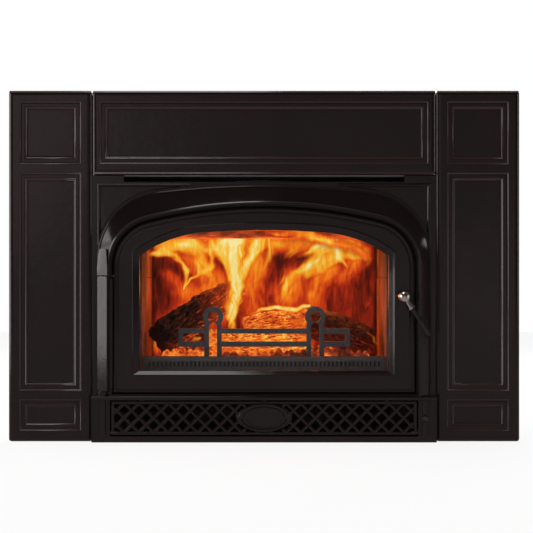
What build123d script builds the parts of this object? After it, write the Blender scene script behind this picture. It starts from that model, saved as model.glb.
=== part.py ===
from build123d import *
from math import acos, asin, cos, degrees, radians, sin
import os

# A wood-burning fireplace insert, in millimetres.
# +X is to the right, +Y goes back into the chimney breast, +Z is up.
# Z = 0 is the hearth, and Y = 0 is the wall that the surround closes off.

# Driving sizes: surround
surround_width = 1041
surround_height = 715
surround_depth = 22
side_panel_width = 169.5
panel_seam = 1.0
panel_edge_radius = 5
panel_back_rim = 9
panel_skin = 6
field_margin = 21
field_bar = 15.5
cap_field_height = 130
plinth_field_height = 66
field_step_depth = 2.5
field_sink_depth = 4.0
field_ledge = 11
header_bottom = 543.5
header_side_margin = 14
boss_radius = 7

# Driving sizes: cast front
fascia_set_back = 2
fascia_thickness = 10
slot_end_margin = 64
slot_height = 13.5
hood_side_margin = 10
hood_top_margin = 20.5
hood_crown_radius = 1800
hood_haunch_radius = 140
hood_projection = 26
hood_leg_width = 27.5
hood_crown_width = 39.5
recess_crown_radius = 980
recess_haunch_radius = 98
landing_width = 30
bead_width = 7
spandrel_sink = 3
spandrel_bead = 4

# Driving sizes: base
base_height = 94
ledge_thickness = 8
ledge_projection = 30
rail_height = 13
post_width = 38
post_rib_inset = 24
post_rib_width = 12
base_casting_depth = 32
grille_gap = 2.3
grille_thickness = 8
grille_border = 5.5
lattice_pitch = 29.8
lattice_hole_side = 11.5
plaque_length = 104
plaque_height = 58
grille_pin_radius = 3
knob_radius = 5.6
knob_z = 50
air_rod_radius = 3

# Driving sizes: door
door_gap = 2.8
door_thickness = 16
door_back_gap = 2
door_bevel_width = 14
door_bevel_depth = 7
window_side_margin = 58.5
window_sill = 50
window_head_margin = 50.5
window_crown_radius = 1490
window_haunch_radius = 250
window_haunch_inset = 147.4
window_bead_offset = 10
window_bead_width = 6
glass_thickness = 5
glass_overlap = 12
glass_tape_thickness = 1
rope_width = 9
hinge_offset = 15.5
hinge_barrel_radius = 10
hinge_barrel_lift = 9.5
hinge_head_margin = 145
hinge_pin_radius = 4
latch_inset = 29.5
latch_lift = 201.4

# Driving sizes: firebox and jacket
firebox_side_margin = 26.5
firebox_lift = 6
firebox_depth = 360
shell_thickness = 4
brick_thickness = 30
brick_height = 229
top_passage = 41
rear_passage = 40
jacket_sheet = 2
jacket_clearance = 1
flue_bore_radius = 76.2
flue_wall = 4
flue_set_in = 125
flue_rise = 100

# Driving sizes: blower
blower_shaft_y = 62
blower_wheel_radius = 31
blower_wheel_width = 84
blower_motor_radius = 30
blower_motor_length = 74
blower_floor_gap = 2.5

# Fits and clearances
running_fit = 0.06
seat_fit = 0.02
moving_gap = 0.3
bolt_clearance = 0.2

# Worked out from the sizes above: the surround and the front castings
panel_front = -surround_depth
fascia_front = panel_front + fascia_set_back
fascia_back = fascia_front + fascia_thickness
half_surround = surround_width / 2
seam_x = half_surround - side_panel_width
centre_half_width = seam_x - panel_seam
casting_top = header_bottom - panel_seam
slot_half_width = centre_half_width - slot_end_margin
hood_half_width = centre_half_width - hood_side_margin
hood_apex = casting_top - hood_top_margin
recess_half_width = hood_half_width - hood_leg_width
recess_apex = hood_apex - hood_crown_width
recess_bottom = base_height
window_half_width = recess_half_width - window_side_margin
window_bottom = base_height + window_sill
window_apex = recess_apex - window_head_margin
hinge_x = -recess_half_width - hinge_offset
hinge_barrel_bottom = base_height + hinge_barrel_lift
hinge_barrel_top = recess_apex - hinge_head_margin
latch_x = recess_half_width - latch_inset
latch_z = base_height + latch_lift

# Worked out from the sizes above: the firebox and the jacket round it
post_middle_x = centre_half_width - post_rib_inset
jacket_inner = post_middle_x + air_rod_radius + jacket_clearance
jacket_half_width = jacket_inner + jacket_sheet
jacket_top = casting_top + panel_seam / 2
firebox_half_width = recess_half_width - firebox_side_margin
firebox_bottom = base_height + firebox_lift
firebox_top = jacket_top - jacket_sheet - top_passage
firebox_front = fascia_back
firebox_back = firebox_front + firebox_depth
jacket_front = fascia_back
jacket_inner_back = firebox_back + rear_passage
jacket_depth = jacket_inner_back + jacket_sheet
flue_y = firebox_back - flue_set_in
flue_top = firebox_top + flue_rise


def save(piece, name):
    """Label a finished piece and write it under its own name."""
    piece.part.label = name
    export_step(piece.part, f"parts/{name}.step")


def block(x, y, z, mode=Mode.ADD):
    """Add or cut a block; x, y and z are (low, high) pairs."""
    with Locations((sum(x) / 2, sum(y) / 2, sum(z) / 2)):
        Box(x[1] - x[0], y[1] - y[0], z[1] - z[0], mode=mode)


def rod(start, end, radius, mode=Mode.ADD):
    """Add or cut a round rod from one point to another."""
    axis = Vector(*end) - Vector(*start)
    with BuildSketch(Plane(origin=start, z_dir=axis)) as section:
        Circle(radius)
    extrude(section.sketch, amount=axis.length, mode=mode)


def tube(start, end, outer, inner):
    """Add a round tube from one point to another."""
    axis = Vector(*end) - Vector(*start)
    with BuildSketch(Plane(origin=start, z_dir=axis)) as section:
        Circle(outer)
        Circle(inner, mode=Mode.SUBTRACT)
    extrude(section.sketch, amount=axis.length)


def front_plane(y):
    """The upright plane at y that faces the room: its X is the insert's X, its Y is Z."""
    return Plane.XZ.offset(-y)


def front_rectangle(x, z, y):
    """A rectangle that faces the room, between two (low, high) pairs."""
    with BuildSketch(front_plane(y)) as face:
        with Locations((sum(x) / 2, sum(z) / 2)):
            Rectangle(x[1] - x[0], z[1] - z[0])
    return face.sketch


def grown(pair, margin):
    """A (low, high) pair moved outwards by the margin on both sides."""
    return (pair[0] - margin, pair[1] + margin)


# ---------------------------------------------------------------- surround panels
def sink_field(x, z):
    """Sink a framed field of two sloped steps into a panel's front."""
    extrude(front_rectangle(x, z, panel_front), amount=-field_step_depth, taper=45, mode=Mode.SUBTRACT)
    ledge_y = panel_front + field_step_depth
    inner = front_rectangle(grown(x, -field_ledge), grown(z, -field_ledge), ledge_y)
    extrude(inner, amount=-field_sink_depth, taper=60, mode=Mode.SUBTRACT)


def hollow_back(x, z):
    """Hollow a panel from behind, leaving a rim and the skin under its fields."""
    depth = surround_depth - field_step_depth - field_sink_depth - panel_skin
    back = front_rectangle(grown(x, -panel_back_rim), grown(z, -panel_back_rim), 0)
    extrude(back, amount=depth, mode=Mode.SUBTRACT)


def panel_bosses(places):
    """Stand tapped bosses on the back of a panel's skin, level with its rim."""
    depth = surround_depth - field_step_depth - field_sink_depth - panel_skin
    for x, z in places:
        tube((x, 0, z), (x, -depth, z), boss_radius, boss_screw_radius + bolt_clearance)


def strap_seat(side, z):
    """Sink a seat for a strap or bracket into a panel's rim, so that the panel lies flat on a wall."""
    seat_x = grown(sorted((side * strap_x[0], side * strap_x[1])), strap_seat_gap)
    block(seat_x, (-strap_thickness, 0), grown(z, strap_seat_gap), Mode.SUBTRACT)


def round_panel_edges():
    """Round the four corners and the front edges of the panel being built."""
    fillet(edges().filter_by(Axis.Y), panel_edge_radius / 2)
    front = faces().filter_by(Axis.Y).sort_by(Axis.Y)[0]
    fillet(front.outer_wire().edges(), panel_edge_radius)


boss_screw_radius = 2.5
strap_hole_inset = 30
strap_hole_height = surround_height - strap_hole_inset
strap_low_height = header_bottom + strap_hole_inset
strap_reach = 24
strap_margin = 14
strap_thickness = 3
strap_seat_gap = 0.3
side_bracket_heights = (180, 470)
strap_x = (seam_x - strap_reach - strap_margin, seam_x + strap_reach + strap_margin)
strap_z = (strap_low_height - strap_margin, strap_hole_height + strap_margin)
bracket_z = (side_bracket_heights[0] - strap_margin, side_bracket_heights[1] + strap_margin)

for side, name in ((-1, "surround_left"), (1, "surround_right")):
    x_pair = sorted((side * seam_x, side * half_surround))
    z_pair = (0, surround_height)
    field_x = grown(x_pair, -field_margin)
    cap_top = surround_height - field_margin
    plinth_top = field_margin + plinth_field_height
    boss_x = side * (seam_x + strap_reach)
    with BuildPart() as side_panel:
        block(x_pair, (panel_front, 0), z_pair)
        round_panel_edges()
        sink_field(field_x, (cap_top - cap_field_height, cap_top))
        sink_field(field_x, (plinth_top + field_bar, cap_top - cap_field_height - field_bar))
        sink_field(field_x, (field_margin, plinth_top))
        hollow_back(x_pair, z_pair)
        panel_bosses([(boss_x, strap_hole_height), (boss_x, strap_low_height)])
        panel_bosses([(boss_x, height) for height in side_bracket_heights])
        strap_seat(side, strap_z)
        strap_seat(side, bracket_z)
    save(side_panel, name)

header_x = (-seam_x + panel_seam, seam_x - panel_seam)
header_z = (header_bottom, surround_height)
with BuildPart() as header:
    block(header_x, (panel_front, 0), header_z)
    round_panel_edges()
    sink_field(grown(header_x, -header_side_margin), grown(header_z, -field_margin))
    hollow_back(header_x, header_z)
    for side in (-1, 1):
        boss_x = side * (seam_x - strap_reach)
        panel_bosses([(boss_x, strap_hole_height), (boss_x, strap_low_height)])
        strap_seat(side, strap_z)
save(header, "surround_header")

# ---------------------------------------------------------------- arch outlines
# An arch is half width, apex height, crown radius, haunch radius and haunch centre x.
hood_arch = (hood_half_width, hood_apex, hood_crown_radius, hood_haunch_radius,
             hood_half_width - hood_haunch_radius)
recess_arch = (recess_half_width, recess_apex, recess_crown_radius, recess_haunch_radius,
               recess_half_width - recess_haunch_radius)
window_arch = (window_half_width, window_apex, window_crown_radius, window_haunch_radius,
               window_half_width - window_haunch_inset)


def arch_face(y, arch, bottom, margin=0):
    """An arch that faces the room at y: a wide crown, two haunches and upright legs."""
    half_width, apex, crown_radius, haunch_radius, haunch_x = arch
    reach = crown_radius - haunch_radius
    lean = asin(haunch_x / reach)
    haunch_z = apex - crown_radius + reach * cos(lean)
    spring = acos(min(1, (half_width + margin - haunch_x) / (haunch_radius + margin)))
    spring_z = haunch_z + (haunch_radius + margin) * sin(spring)
    half, base = half_width + margin, bottom - margin
    sweep = 90 - degrees(lean) - degrees(spring)
    with BuildSketch(front_plane(y)) as face:
        with BuildLine():
            CenterArc((0, apex - crown_radius), crown_radius + margin, 90 - degrees(lean),
                      2 * degrees(lean))
            CenterArc((haunch_x, haunch_z), haunch_radius + margin, degrees(spring), sweep)
            CenterArc((-haunch_x, haunch_z), haunch_radius + margin, 90 + degrees(lean), sweep)
            Line((half, spring_z), (half, base))
            Line((half, base), (-half, base))
            Line((-half, base), (-half, spring_z))
        make_face()
    return face.sketch


def arch_ring(y, arch, bottom, outer, inner):
    """The band of an arch between two margins, facing the room at y."""
    return arch_face(y, arch, bottom, outer) - arch_face(y, arch, bottom, inner)


# ---------------------------------------------------------------- front casting
hood_front = fascia_front - hood_projection
bead_round = 2.4
outer_bead_depth = 7
band_front = hood_front + 3
slot_bottom = casting_top - slot_height
spandrel_edge = 15
spandrel_gap = 4
spandrel_bead_height = 2
hinge_y = hood_front + hinge_barrel_radius
knuckle_height = 13
knuckle_top = hinge_barrel_top + knuckle_height
hood_leg_end = hinge_barrel_top + 1
latch_notch_half = 34
latch_notch_margin = 18
latch_notch = (latch_z - latch_notch_half, latch_z + latch_notch_half)
latch_notch_x = (latch_x - latch_notch_margin, recess_half_width - latch_notch_margin)
keeper_radius = 2.5
keeper_x = latch_notch_x[1] - keeper_radius - 0.5
keeper_y = fascia_front + keeper_radius
keeper_seat = 4
keeper_z = grown(latch_notch, keeper_seat)
screw_radius = 3
screw_hole_radius = screw_radius + bolt_clearance
casting_screw_x = jacket_inner - 7.5
casting_screw_depth = 6
casting_screw_low = base_height + 56
casting_screw_high = casting_top - 42.5
casting_screw_heights = (casting_screw_low, (casting_screw_low + casting_screw_high) / 2, casting_screw_high)
base_bolt_x = (-250, 0, 250)
base_bolt_y = fascia_front + fascia_thickness / 2
base_bolt_reach = 14

with BuildPart() as hood:
    extrude(arch_face(fascia_front, hood_arch, recess_bottom), amount=outer_bead_depth)
    fillet(faces().filter_by(Axis.Y).sort_by(Axis.Y)[0].edges(), bead_round)
    band_foot = arch_face(fascia_front - outer_bead_depth + 1, hood_arch, recess_bottom, -spandrel_bead)
    band_head = arch_face(band_front, recess_arch, recess_bottom, bead_width)
    loft(sections=[band_foot, band_head], ruled=True)

with BuildPart() as hood_bead:
    extrude(arch_face(fascia_front, recess_arch, recess_bottom, bead_width), amount=hood_projection)
    extrude(arch_face(fascia_front, recess_arch, recess_bottom), amount=hood_projection,
            mode=Mode.SUBTRACT)
    block((-recess_half_width, recess_half_width), (hood_front, fascia_front),
          (recess_bottom - bead_width, recess_bottom), Mode.SUBTRACT)
    fillet(faces().filter_by(Axis.Y).sort_by(Axis.Y)[0].edges(), bead_round)

with BuildPart() as front_casting:
    block((-centre_half_width, centre_half_width), (fascia_front, fascia_back),
          (base_height, casting_top))
    add(hood.part)
    extrude(arch_face(fascia_front, recess_arch, recess_bottom), amount=hood_projection,
            mode=Mode.SUBTRACT)
    add(hood_bead.part)
    # everything that the arch outlines carried below the casting's foot
    block((-surround_width, surround_width), (hood_front, fascia_back), (0, base_height), Mode.SUBTRACT)
    # the two spandrels, sunk between a straight bead and the hood
    for side in (-1, 1):
        corner_x = sorted((side * (hood_half_width / 2), side * (centre_half_width - spandrel_edge)))
        corner_z = (recess_apex - recess_haunch_radius, slot_bottom - spandrel_bead * 2)
        corner = front_rectangle(corner_x, corner_z, fascia_front)
        sunk = corner - arch_face(fascia_front, hood_arch, recess_bottom, spandrel_gap)
        rim = front_rectangle(grown(corner_x, spandrel_bead), grown(corner_z, spandrel_bead),
                              fascia_front)
        rim -= corner
        rim -= arch_face(fascia_front, hood_arch, recess_bottom, -1)
        rim -= front_rectangle(grown(corner_x, -1), (0, corner_z[0]), fascia_front)
        extrude(sunk, amount=-spandrel_sink, mode=Mode.SUBTRACT)
        rim &= front_rectangle((-centre_half_width, centre_half_width),
                               (corner_z[0], surround_height), fascia_front)
        extrude(rim, amount=spandrel_bead_height)
    # warm-air outlet below the header, and the hearth opening behind the door
    block((-slot_half_width, slot_half_width), (fascia_front, fascia_back), (slot_bottom, casting_top),
          Mode.SUBTRACT)
    extrude(arch_face(fascia_front, recess_arch, recess_bottom, -landing_width),
            amount=-fascia_thickness, mode=Mode.SUBTRACT)
    block(latch_notch_x, (fascia_front, fascia_back), latch_notch, Mode.SUBTRACT)
    rod((keeper_x, keeper_y, keeper_z[0]), (keeper_x, keeper_y, keeper_z[1]), keeper_radius + seat_fit,
        Mode.SUBTRACT)
    # the left leg of the hood gives way to the door's hinge barrel and its two knuckles
    block((-centre_half_width + 1, -recess_half_width + 1), (hood_front - 1, fascia_front),
          (recess_bottom, hood_leg_end), Mode.SUBTRACT)
    for low, high in ((base_height, hinge_barrel_bottom - moving_gap),
                      (hinge_barrel_top + moving_gap, knuckle_top)):
        rod((hinge_x, hinge_y, low), (hinge_x, hinge_y, high), hinge_barrel_radius)
        block((hinge_x - hinge_barrel_radius, hinge_x + hinge_barrel_radius), (hinge_y, fascia_front),
              (low, high))
        rod((hinge_x, hinge_y, low), (hinge_x, hinge_y, high), hinge_pin_radius + seat_fit,
            Mode.SUBTRACT)
    for side in (-1, 1):
        for height in casting_screw_heights:
            x = side * casting_screw_x
            rod((x, fascia_back - casting_screw_depth, height), (x, fascia_back, height),
                screw_hole_radius, Mode.SUBTRACT)
    for x in base_bolt_x:
        rod((x, base_bolt_y, base_height), (x, base_bolt_y, base_height + base_bolt_reach),
            screw_hole_radius, Mode.SUBTRACT)
save(front_casting, "front_casting")

with BuildPart() as latch_keeper:
    rod((keeper_x, keeper_y, keeper_z[0]), (keeper_x, keeper_y, keeper_z[1]), keeper_radius)
save(latch_keeper, "latch_keeper")

# ---------------------------------------------------------------- base casting
base_front = fascia_front - base_casting_depth + fascia_thickness
ledge_front = fascia_front - ledge_projection
ledge_bottom = base_height - ledge_thickness
post_inner_x = centre_half_width - post_width
foot_thickness = 8
foot_depth = 24
grille_set_back = 2
knob_flat = 2
grille_pivot_height = 4.5
grille_x = (-post_inner_x + grille_gap, post_inner_x - grille_gap)
grille_z = (rail_height + grille_gap, ledge_bottom - grille_gap)
grille_front = base_front + grille_set_back
grille_back = grille_front + grille_thickness
grille_pivot = (grille_front + grille_pin_radius, grille_z[0] + grille_pivot_height)
grille_pin_reach = 12

with BuildPart() as base_casting:
    block((-centre_half_width, centre_half_width), (base_front, fascia_back), (0, ledge_bottom))
    block((-centre_half_width, centre_half_width), (ledge_front, fascia_back),
          (ledge_bottom, base_height))
    fillet(edges().filter_by(Axis.X).group_by(Axis.Y)[0], ledge_thickness * 0.4)
    block((-post_inner_x, post_inner_x), (base_front, fascia_back), (rail_height, ledge_bottom),
          Mode.SUBTRACT)
    block((-centre_half_width, centre_half_width), (base_front, foot_depth), (0, foot_thickness))
    for side in (-1, 1):
        x = side * post_middle_x
        rod((x, base_front, rail_height + 1), (x, base_front, ledge_bottom), post_rib_width / 2)
        rod((side * (post_inner_x - grille_gap), *grille_pivot),
            (side * (post_inner_x + grille_pin_reach), *grille_pivot), grille_pin_radius + seat_fit,
            Mode.SUBTRACT)
    rod((post_middle_x, base_front - post_rib_width, knob_z), (post_middle_x, fascia_back, knob_z),
        air_rod_radius + running_fit, Mode.SUBTRACT)
    # the rib is cut flat round the rod, so that the knob has a seat
    block((post_middle_x - post_rib_width / 2, post_middle_x + post_rib_width / 2),
          (base_front - post_rib_width, base_front - knob_flat),
          (knob_z - knob_radius - knob_flat, knob_z + knob_radius + knob_flat), Mode.SUBTRACT)
    for x in base_bolt_x:
        rod((x, base_bolt_y, ledge_bottom), (x, base_bolt_y, base_height), screw_hole_radius,
            Mode.SUBTRACT)
save(base_casting, "base_casting")

# ---------------------------------------------------------------- lower grille
# A cast diamond lattice that tips forward on two pins to reach what is behind it.
plaque_z = sum(grille_z) / 2 + 0.5
plaque_relief = 2
plaque_rim = (14, 8)
plaque_seat_margin = (3, -1)
heel_chamfer = 1.5
lattice_field_x = grown(grille_x, -grille_border - 2.5)
lattice_field_z = grown(grille_z, -grille_border)
lattice_columns = int(lattice_field_x[1] / lattice_pitch) + 1

with BuildPart() as grille:
    block(grille_x, (grille_front, grille_back), grille_z)
    with BuildSketch(front_plane(grille_front)) as lattice:
        for column in range(-2 * lattice_columns, 2 * lattice_columns + 1):
            for row in range(-2, 3):
                if (column + row) % 2 == 0:
                    with Locations((column * lattice_pitch / 2, plaque_z + row * lattice_pitch / 2)):
                        Rectangle(lattice_hole_side, lattice_hole_side, rotation=45)
    holes = lattice.sketch & front_rectangle(lattice_field_x, lattice_field_z, grille_front)
    with BuildSketch(front_plane(grille_front)) as plaque_seat:
        with Locations((0, plaque_z)):
            Ellipse(plaque_length / 2 + plaque_seat_margin[0], plaque_height / 2 + plaque_seat_margin[1])
    extrude(holes - plaque_seat.sketch, amount=-grille_thickness, mode=Mode.SUBTRACT)
    rod((grille_x[0], *grille_pivot), (grille_x[0] + grille_pin_reach, *grille_pivot),
        grille_pin_radius + running_fit, Mode.SUBTRACT)
    rod((grille_x[1] - grille_pin_reach, *grille_pivot), (grille_x[1], *grille_pivot),
        grille_pin_radius + running_fit, Mode.SUBTRACT)
    heel = edges().filter_by(Axis.X).group_by(Axis.Z)[0].sort_by(Axis.Y)[-1]
    chamfer(heel, heel_chamfer)
save(grille, "lower_grille")

with BuildPart() as plaque:
    with BuildSketch(front_plane(grille_front)) as plaque_oval:
        with Locations((0, plaque_z)):
            Ellipse(plaque_length / 2, plaque_height / 2)
    extrude(plaque_oval.sketch, amount=plaque_relief)
    with BuildSketch(front_plane(grille_front - plaque_relief)) as plaque_field:
        with Locations((0, plaque_z)):
            Ellipse(plaque_length / 2 - plaque_rim[0], plaque_height / 2 - plaque_rim[1])
    extrude(plaque_field.sketch, amount=-plaque_relief / 2, mode=Mode.SUBTRACT)
save(plaque, "grille_plaque")

with BuildPart() as grille_pins:
    for side in (-1, 1):
        rod((side * (grille_x[1] - grille_pin_reach + 1), *grille_pivot),
            (side * (post_inner_x + grille_pin_reach), *grille_pivot), grille_pin_radius)
save(grille_pins, "grille_pins")

# ---------------------------------------------------------------- combustion air control
# A push-pull knob on a rod that slides a shutter over the air port, clear of the jacket.
knob_seat = base_front - knob_flat
knob_length = 12
air_travel = 40
intake_y = (30, 104)
intake_x = (firebox_half_width - 24, post_middle_x - 8)
intake_z = (44, firebox_bottom)
intake_sheet = 2
port_y = (50, 84)
port_z = (50, 72)
shutter_sheet = 1.6
shutter_lap = 5
air_rod_end = port_y[1] + air_travel / 2 + shutter_lap

with BuildPart() as air_knob:
    rod((post_middle_x, knob_seat - knob_length, knob_z),
        (post_middle_x, knob_seat - moving_gap, knob_z), knob_radius)
    fillet(edges().group_by(Axis.Y)[0], knob_radius * 0.45)
    rod((post_middle_x, knob_seat - knob_length / 2, knob_z), (post_middle_x, knob_seat, knob_z),
        air_rod_radius + seat_fit, Mode.SUBTRACT)
save(air_knob, "air_control_knob")

with BuildPart() as air_rod:
    rod((post_middle_x, knob_seat - knob_length / 2, knob_z), (post_middle_x, air_rod_end, knob_z),
        air_rod_radius)
    block((intake_x[1] + moving_gap + shutter_sheet, post_middle_x), (port_y[0], air_rod_end),
          (knob_z - air_rod_radius / 2, knob_z + air_rod_radius / 2))
save(air_rod, "air_control_rod")

with BuildPart() as air_shutter:
    block((intake_x[1] + moving_gap, intake_x[1] + moving_gap + shutter_sheet),
          (port_y[0] - shutter_lap, air_rod_end), grown(port_z, shutter_lap))
save(air_shutter, "air_shutter")

with BuildPart() as intake_box:
    block(intake_x, intake_y, intake_z)
    block(grown(intake_x, -intake_sheet), grown(intake_y, -intake_sheet),
          grown(intake_z, -intake_sheet), Mode.SUBTRACT)
    block((intake_x[0] + intake_sheet, firebox_half_width - intake_sheet), grown(intake_y, -intake_sheet),
          (intake_z[1] - intake_sheet, intake_z[1]), Mode.SUBTRACT)
    block((intake_x[1] - intake_sheet, intake_x[1]), port_y, port_z, Mode.SUBTRACT)
save(intake_box, "air_intake_box")

# ---------------------------------------------------------------- door
door_back = fascia_front - door_back_gap
door_front = door_back - door_thickness
bezel_depth = 8
bezel_flare = 6
glass_pocket = glass_thickness + glass_tape_thickness
rope_inset = door_gap + 5
rope_channel_depth = 5
rope_side_gap = 0.2
retainer_width = 18
retainer_lap = 2
retainer_thickness = 2
retainer_screw_margin = 15
retainer_screw_radius = 2
retainer_screw_head = 1.6
retainer_screw_depth = 6
bush_radius = 6
bush_length = 12
latch_shaft_radius = 4
latch_hub_radius = 5.2


def crown_height(arch, margin, x):
    """How high the crown of an arch, grown by the margin, stands at x."""
    apex, crown_radius = arch[1:3]
    return apex - crown_radius + ((crown_radius + margin) ** 2 - x ** 2) ** 0.5


retainer_side_x = window_half_width + retainer_screw_margin
retainer_low_inset = 46
retainer_high_inset = 87
retainer_foot_inset = 84
retainer_crown_x = 50
retainer_side_heights = (window_bottom + retainer_low_inset, window_apex - retainer_high_inset)
retainer_foot_x = window_half_width - retainer_foot_inset
retainer_screws = [(x, window_bottom - retainer_screw_margin) for x in (-retainer_foot_x, 0, retainer_foot_x)]
retainer_screws += [(side * retainer_side_x, height) for side in (-1, 1)
                    for height in retainer_side_heights]
retainer_screws += [(x, crown_height(window_arch, retainer_screw_margin, x))
                    for x in (-retainer_crown_x, retainer_crown_x)]
window_bead_height = 2.5
window_bead_round = 1.5
hinge_web = (2, 10)
hinge_web_margin = 6

with BuildPart() as window_bead:
    bead_outer = window_bead_offset + window_bead_width / 2
    bead_inner = window_bead_offset - window_bead_width / 2
    extrude(arch_ring(door_front + 1, window_arch, window_bottom, bead_outer, bead_inner),
            amount=window_bead_height + 1)
    fillet(faces().filter_by(Axis.Y).sort_by(Axis.Y)[0].edges(), window_bead_round)

with BuildPart() as door_frame:
    extrude(arch_face(door_back, recess_arch, recess_bottom, -door_gap), amount=door_thickness)
    door_face = faces().filter_by(Axis.Y).sort_by(Axis.Y)[0]
    chamfer(door_face.edges(), door_bevel_width, door_bevel_depth, reference=door_face)
    extrude(arch_face(door_back, window_arch, window_bottom), amount=door_thickness, mode=Mode.SUBTRACT)
    door_face = faces().filter_by(Axis.Y).sort_by(Axis.Y)[0]
    chamfer(door_face.inner_wires()[0].edges(), bezel_flare, bezel_depth, reference=door_face)
    add(window_bead.part)
    extrude(arch_face(door_back, window_arch, window_bottom, glass_overlap), amount=glass_pocket,
            mode=Mode.SUBTRACT)
    extrude(arch_ring(door_back, recess_arch, recess_bottom, -rope_inset, -rope_inset - rope_width),
            amount=rope_channel_depth, mode=Mode.SUBTRACT)
    # hinge barrel on its web along the left edge
    rod((hinge_x, hinge_y, hinge_barrel_bottom), (hinge_x, hinge_y, hinge_barrel_top),
        hinge_barrel_radius)
    block((hinge_x, -recess_half_width + door_gap + 2), (hinge_y + hinge_web[0], hinge_y + hinge_web[1]),
          (hinge_barrel_bottom + hinge_web_margin, hinge_barrel_top - hinge_web_margin))
    for low, high in ((hinge_barrel_bottom, hinge_barrel_bottom + bush_length),
                      (hinge_barrel_top - bush_length, hinge_barrel_top)):
        rod((hinge_x, hinge_y, low), (hinge_x, hinge_y, high), bush_radius + seat_fit, Mode.SUBTRACT)
    rod((latch_x, door_front, latch_z), (latch_x, door_back, latch_z), latch_shaft_radius + running_fit,
        Mode.SUBTRACT)
    for x, z in retainer_screws:
        rod((x, door_back - retainer_screw_depth - 1, z), (x, door_back, z),
            retainer_screw_radius + seat_fit, Mode.SUBTRACT)
save(door_frame, "door_frame")

with BuildPart() as glass_tape:
    extrude(arch_ring(door_back - glass_thickness, window_arch, window_bottom, glass_overlap, 1),
            amount=glass_tape_thickness)
save(glass_tape, "glass_tape")

with BuildPart() as door_glass:
    extrude(arch_face(door_back, window_arch, window_bottom, glass_overlap - moving_gap),
            amount=glass_thickness)
save(door_glass, "door_glass")

with BuildPart() as glass_retainer:
    extrude(arch_ring(door_back, window_arch, window_bottom, retainer_width, retainer_lap),
            amount=-retainer_thickness)
    for x, z in retainer_screws:
        rod((x, door_back, z), (x, door_back + retainer_thickness, z),
            retainer_screw_radius + seat_fit, Mode.SUBTRACT)
save(glass_retainer, "glass_retainer")

with BuildPart() as retainer_screw_set:
    for x, z in retainer_screws:
        head = door_back + retainer_thickness
        rod((x, door_back - retainer_screw_depth, z), (x, head, z), retainer_screw_radius)
        rod((x, head, z), (x, head + retainer_screw_head, z), retainer_screw_radius * 1.6)
save(retainer_screw_set, "retainer_screws")

with BuildPart() as rope_gasket:
    extrude(arch_ring(door_back - rope_channel_depth, recess_arch, recess_bottom,
                      -rope_inset - rope_side_gap, -rope_inset - rope_width + rope_side_gap),
            amount=-(rope_channel_depth + door_back_gap - moving_gap))
    fillet(faces().filter_by(Axis.Y).sort_by(Axis.Y)[-1].edges(), 2)
save(rope_gasket, "door_rope_gasket")

with BuildPart() as hinge_bushes:
    for low in (hinge_barrel_bottom, hinge_barrel_top - bush_length):
        tube((hinge_x, hinge_y, low), (hinge_x, hinge_y, low + bush_length), bush_radius,
             hinge_pin_radius + running_fit)
save(hinge_bushes, "hinge_bushes")

with BuildPart() as hinge_pins:
    rod((hinge_x, hinge_y, base_height), (hinge_x, hinge_y, hinge_barrel_bottom + bush_length - 1),
        hinge_pin_radius)
    rod((hinge_x, hinge_y, hinge_barrel_top - bush_length + 1), (hinge_x, hinge_y, knuckle_top),
        hinge_pin_radius)
save(hinge_pins, "hinge_pins")

# ---------------------------------------------------------------- door latch and handle
hub_radius = 12.7
hub_stem = 4
hub_y = door_front - hub_radius - hub_stem
handle_drop = 57
handle_lean = 8
neck_start = 9
neck_length = 17
collar_thickness = 3
collar_radius = 8.3
grip_length = 64
grip_radius = 6
cam_thickness = 3.2
cam_front = keeper_y + keeper_radius + 1.4
cam_reach = keeper_x + keeper_radius - latch_x - 0.5
cam_arm_width = 7.6
nut_thickness = 5
hub_point = Vector(latch_x, hub_y, latch_z)
handle_way = Vector(cos(radians(handle_drop)), -sin(radians(handle_lean)),
                    -sin(radians(handle_drop))).normalized()
collar_start = neck_start + neck_length
grip_start = collar_start + collar_thickness


def handle_cone(start, length, radius, end_radius):
    """Add a cone along the handle, its start measured from the middle of the hub."""
    with Locations(Plane(origin=hub_point + handle_way * start, z_dir=handle_way)):
        Cone(radius, end_radius, length, align=(Align.CENTER, Align.CENTER, Align.MIN))


with BuildPart() as handle_hub:
    with BuildSketch(Plane.XY.offset(latch_z)) as half_ball:
        with Locations((latch_x, hub_y)):
            Circle(hub_radius)
            Rectangle(hub_radius, 2 * hub_radius, align=(Align.MAX, Align.CENTER), mode=Mode.SUBTRACT)
    revolve(half_ball.sketch, axis=Axis((latch_x, hub_y, latch_z), (0, 1, 0)))
    rod(hub_point, (latch_x, door_front - moving_gap, latch_z), hub_radius * 0.6)
    handle_cone(neck_start, neck_length, grip_radius * 0.8, collar_radius * 0.75)
    rod(hub_point + handle_way * collar_start, hub_point + handle_way * grip_start, collar_radius)
    rod(hub_point, (latch_x, door_front, latch_z), latch_shaft_radius + seat_fit, Mode.SUBTRACT)
save(handle_hub, "handle_hub")

with BuildPart() as handle_grip:
    handle_cone(grip_start, grip_length, grip_radius * 0.75, grip_radius)
    fillet(edges().sort_by(Axis.X)[-1], grip_radius * 0.4)
save(handle_grip, "handle_grip")

shaft_end = cam_front + cam_thickness + nut_thickness
with BuildPart() as latch_shaft:
    rod(hub_point, (latch_x, shaft_end, latch_z), latch_shaft_radius)
save(latch_shaft, "latch_shaft")

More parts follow.
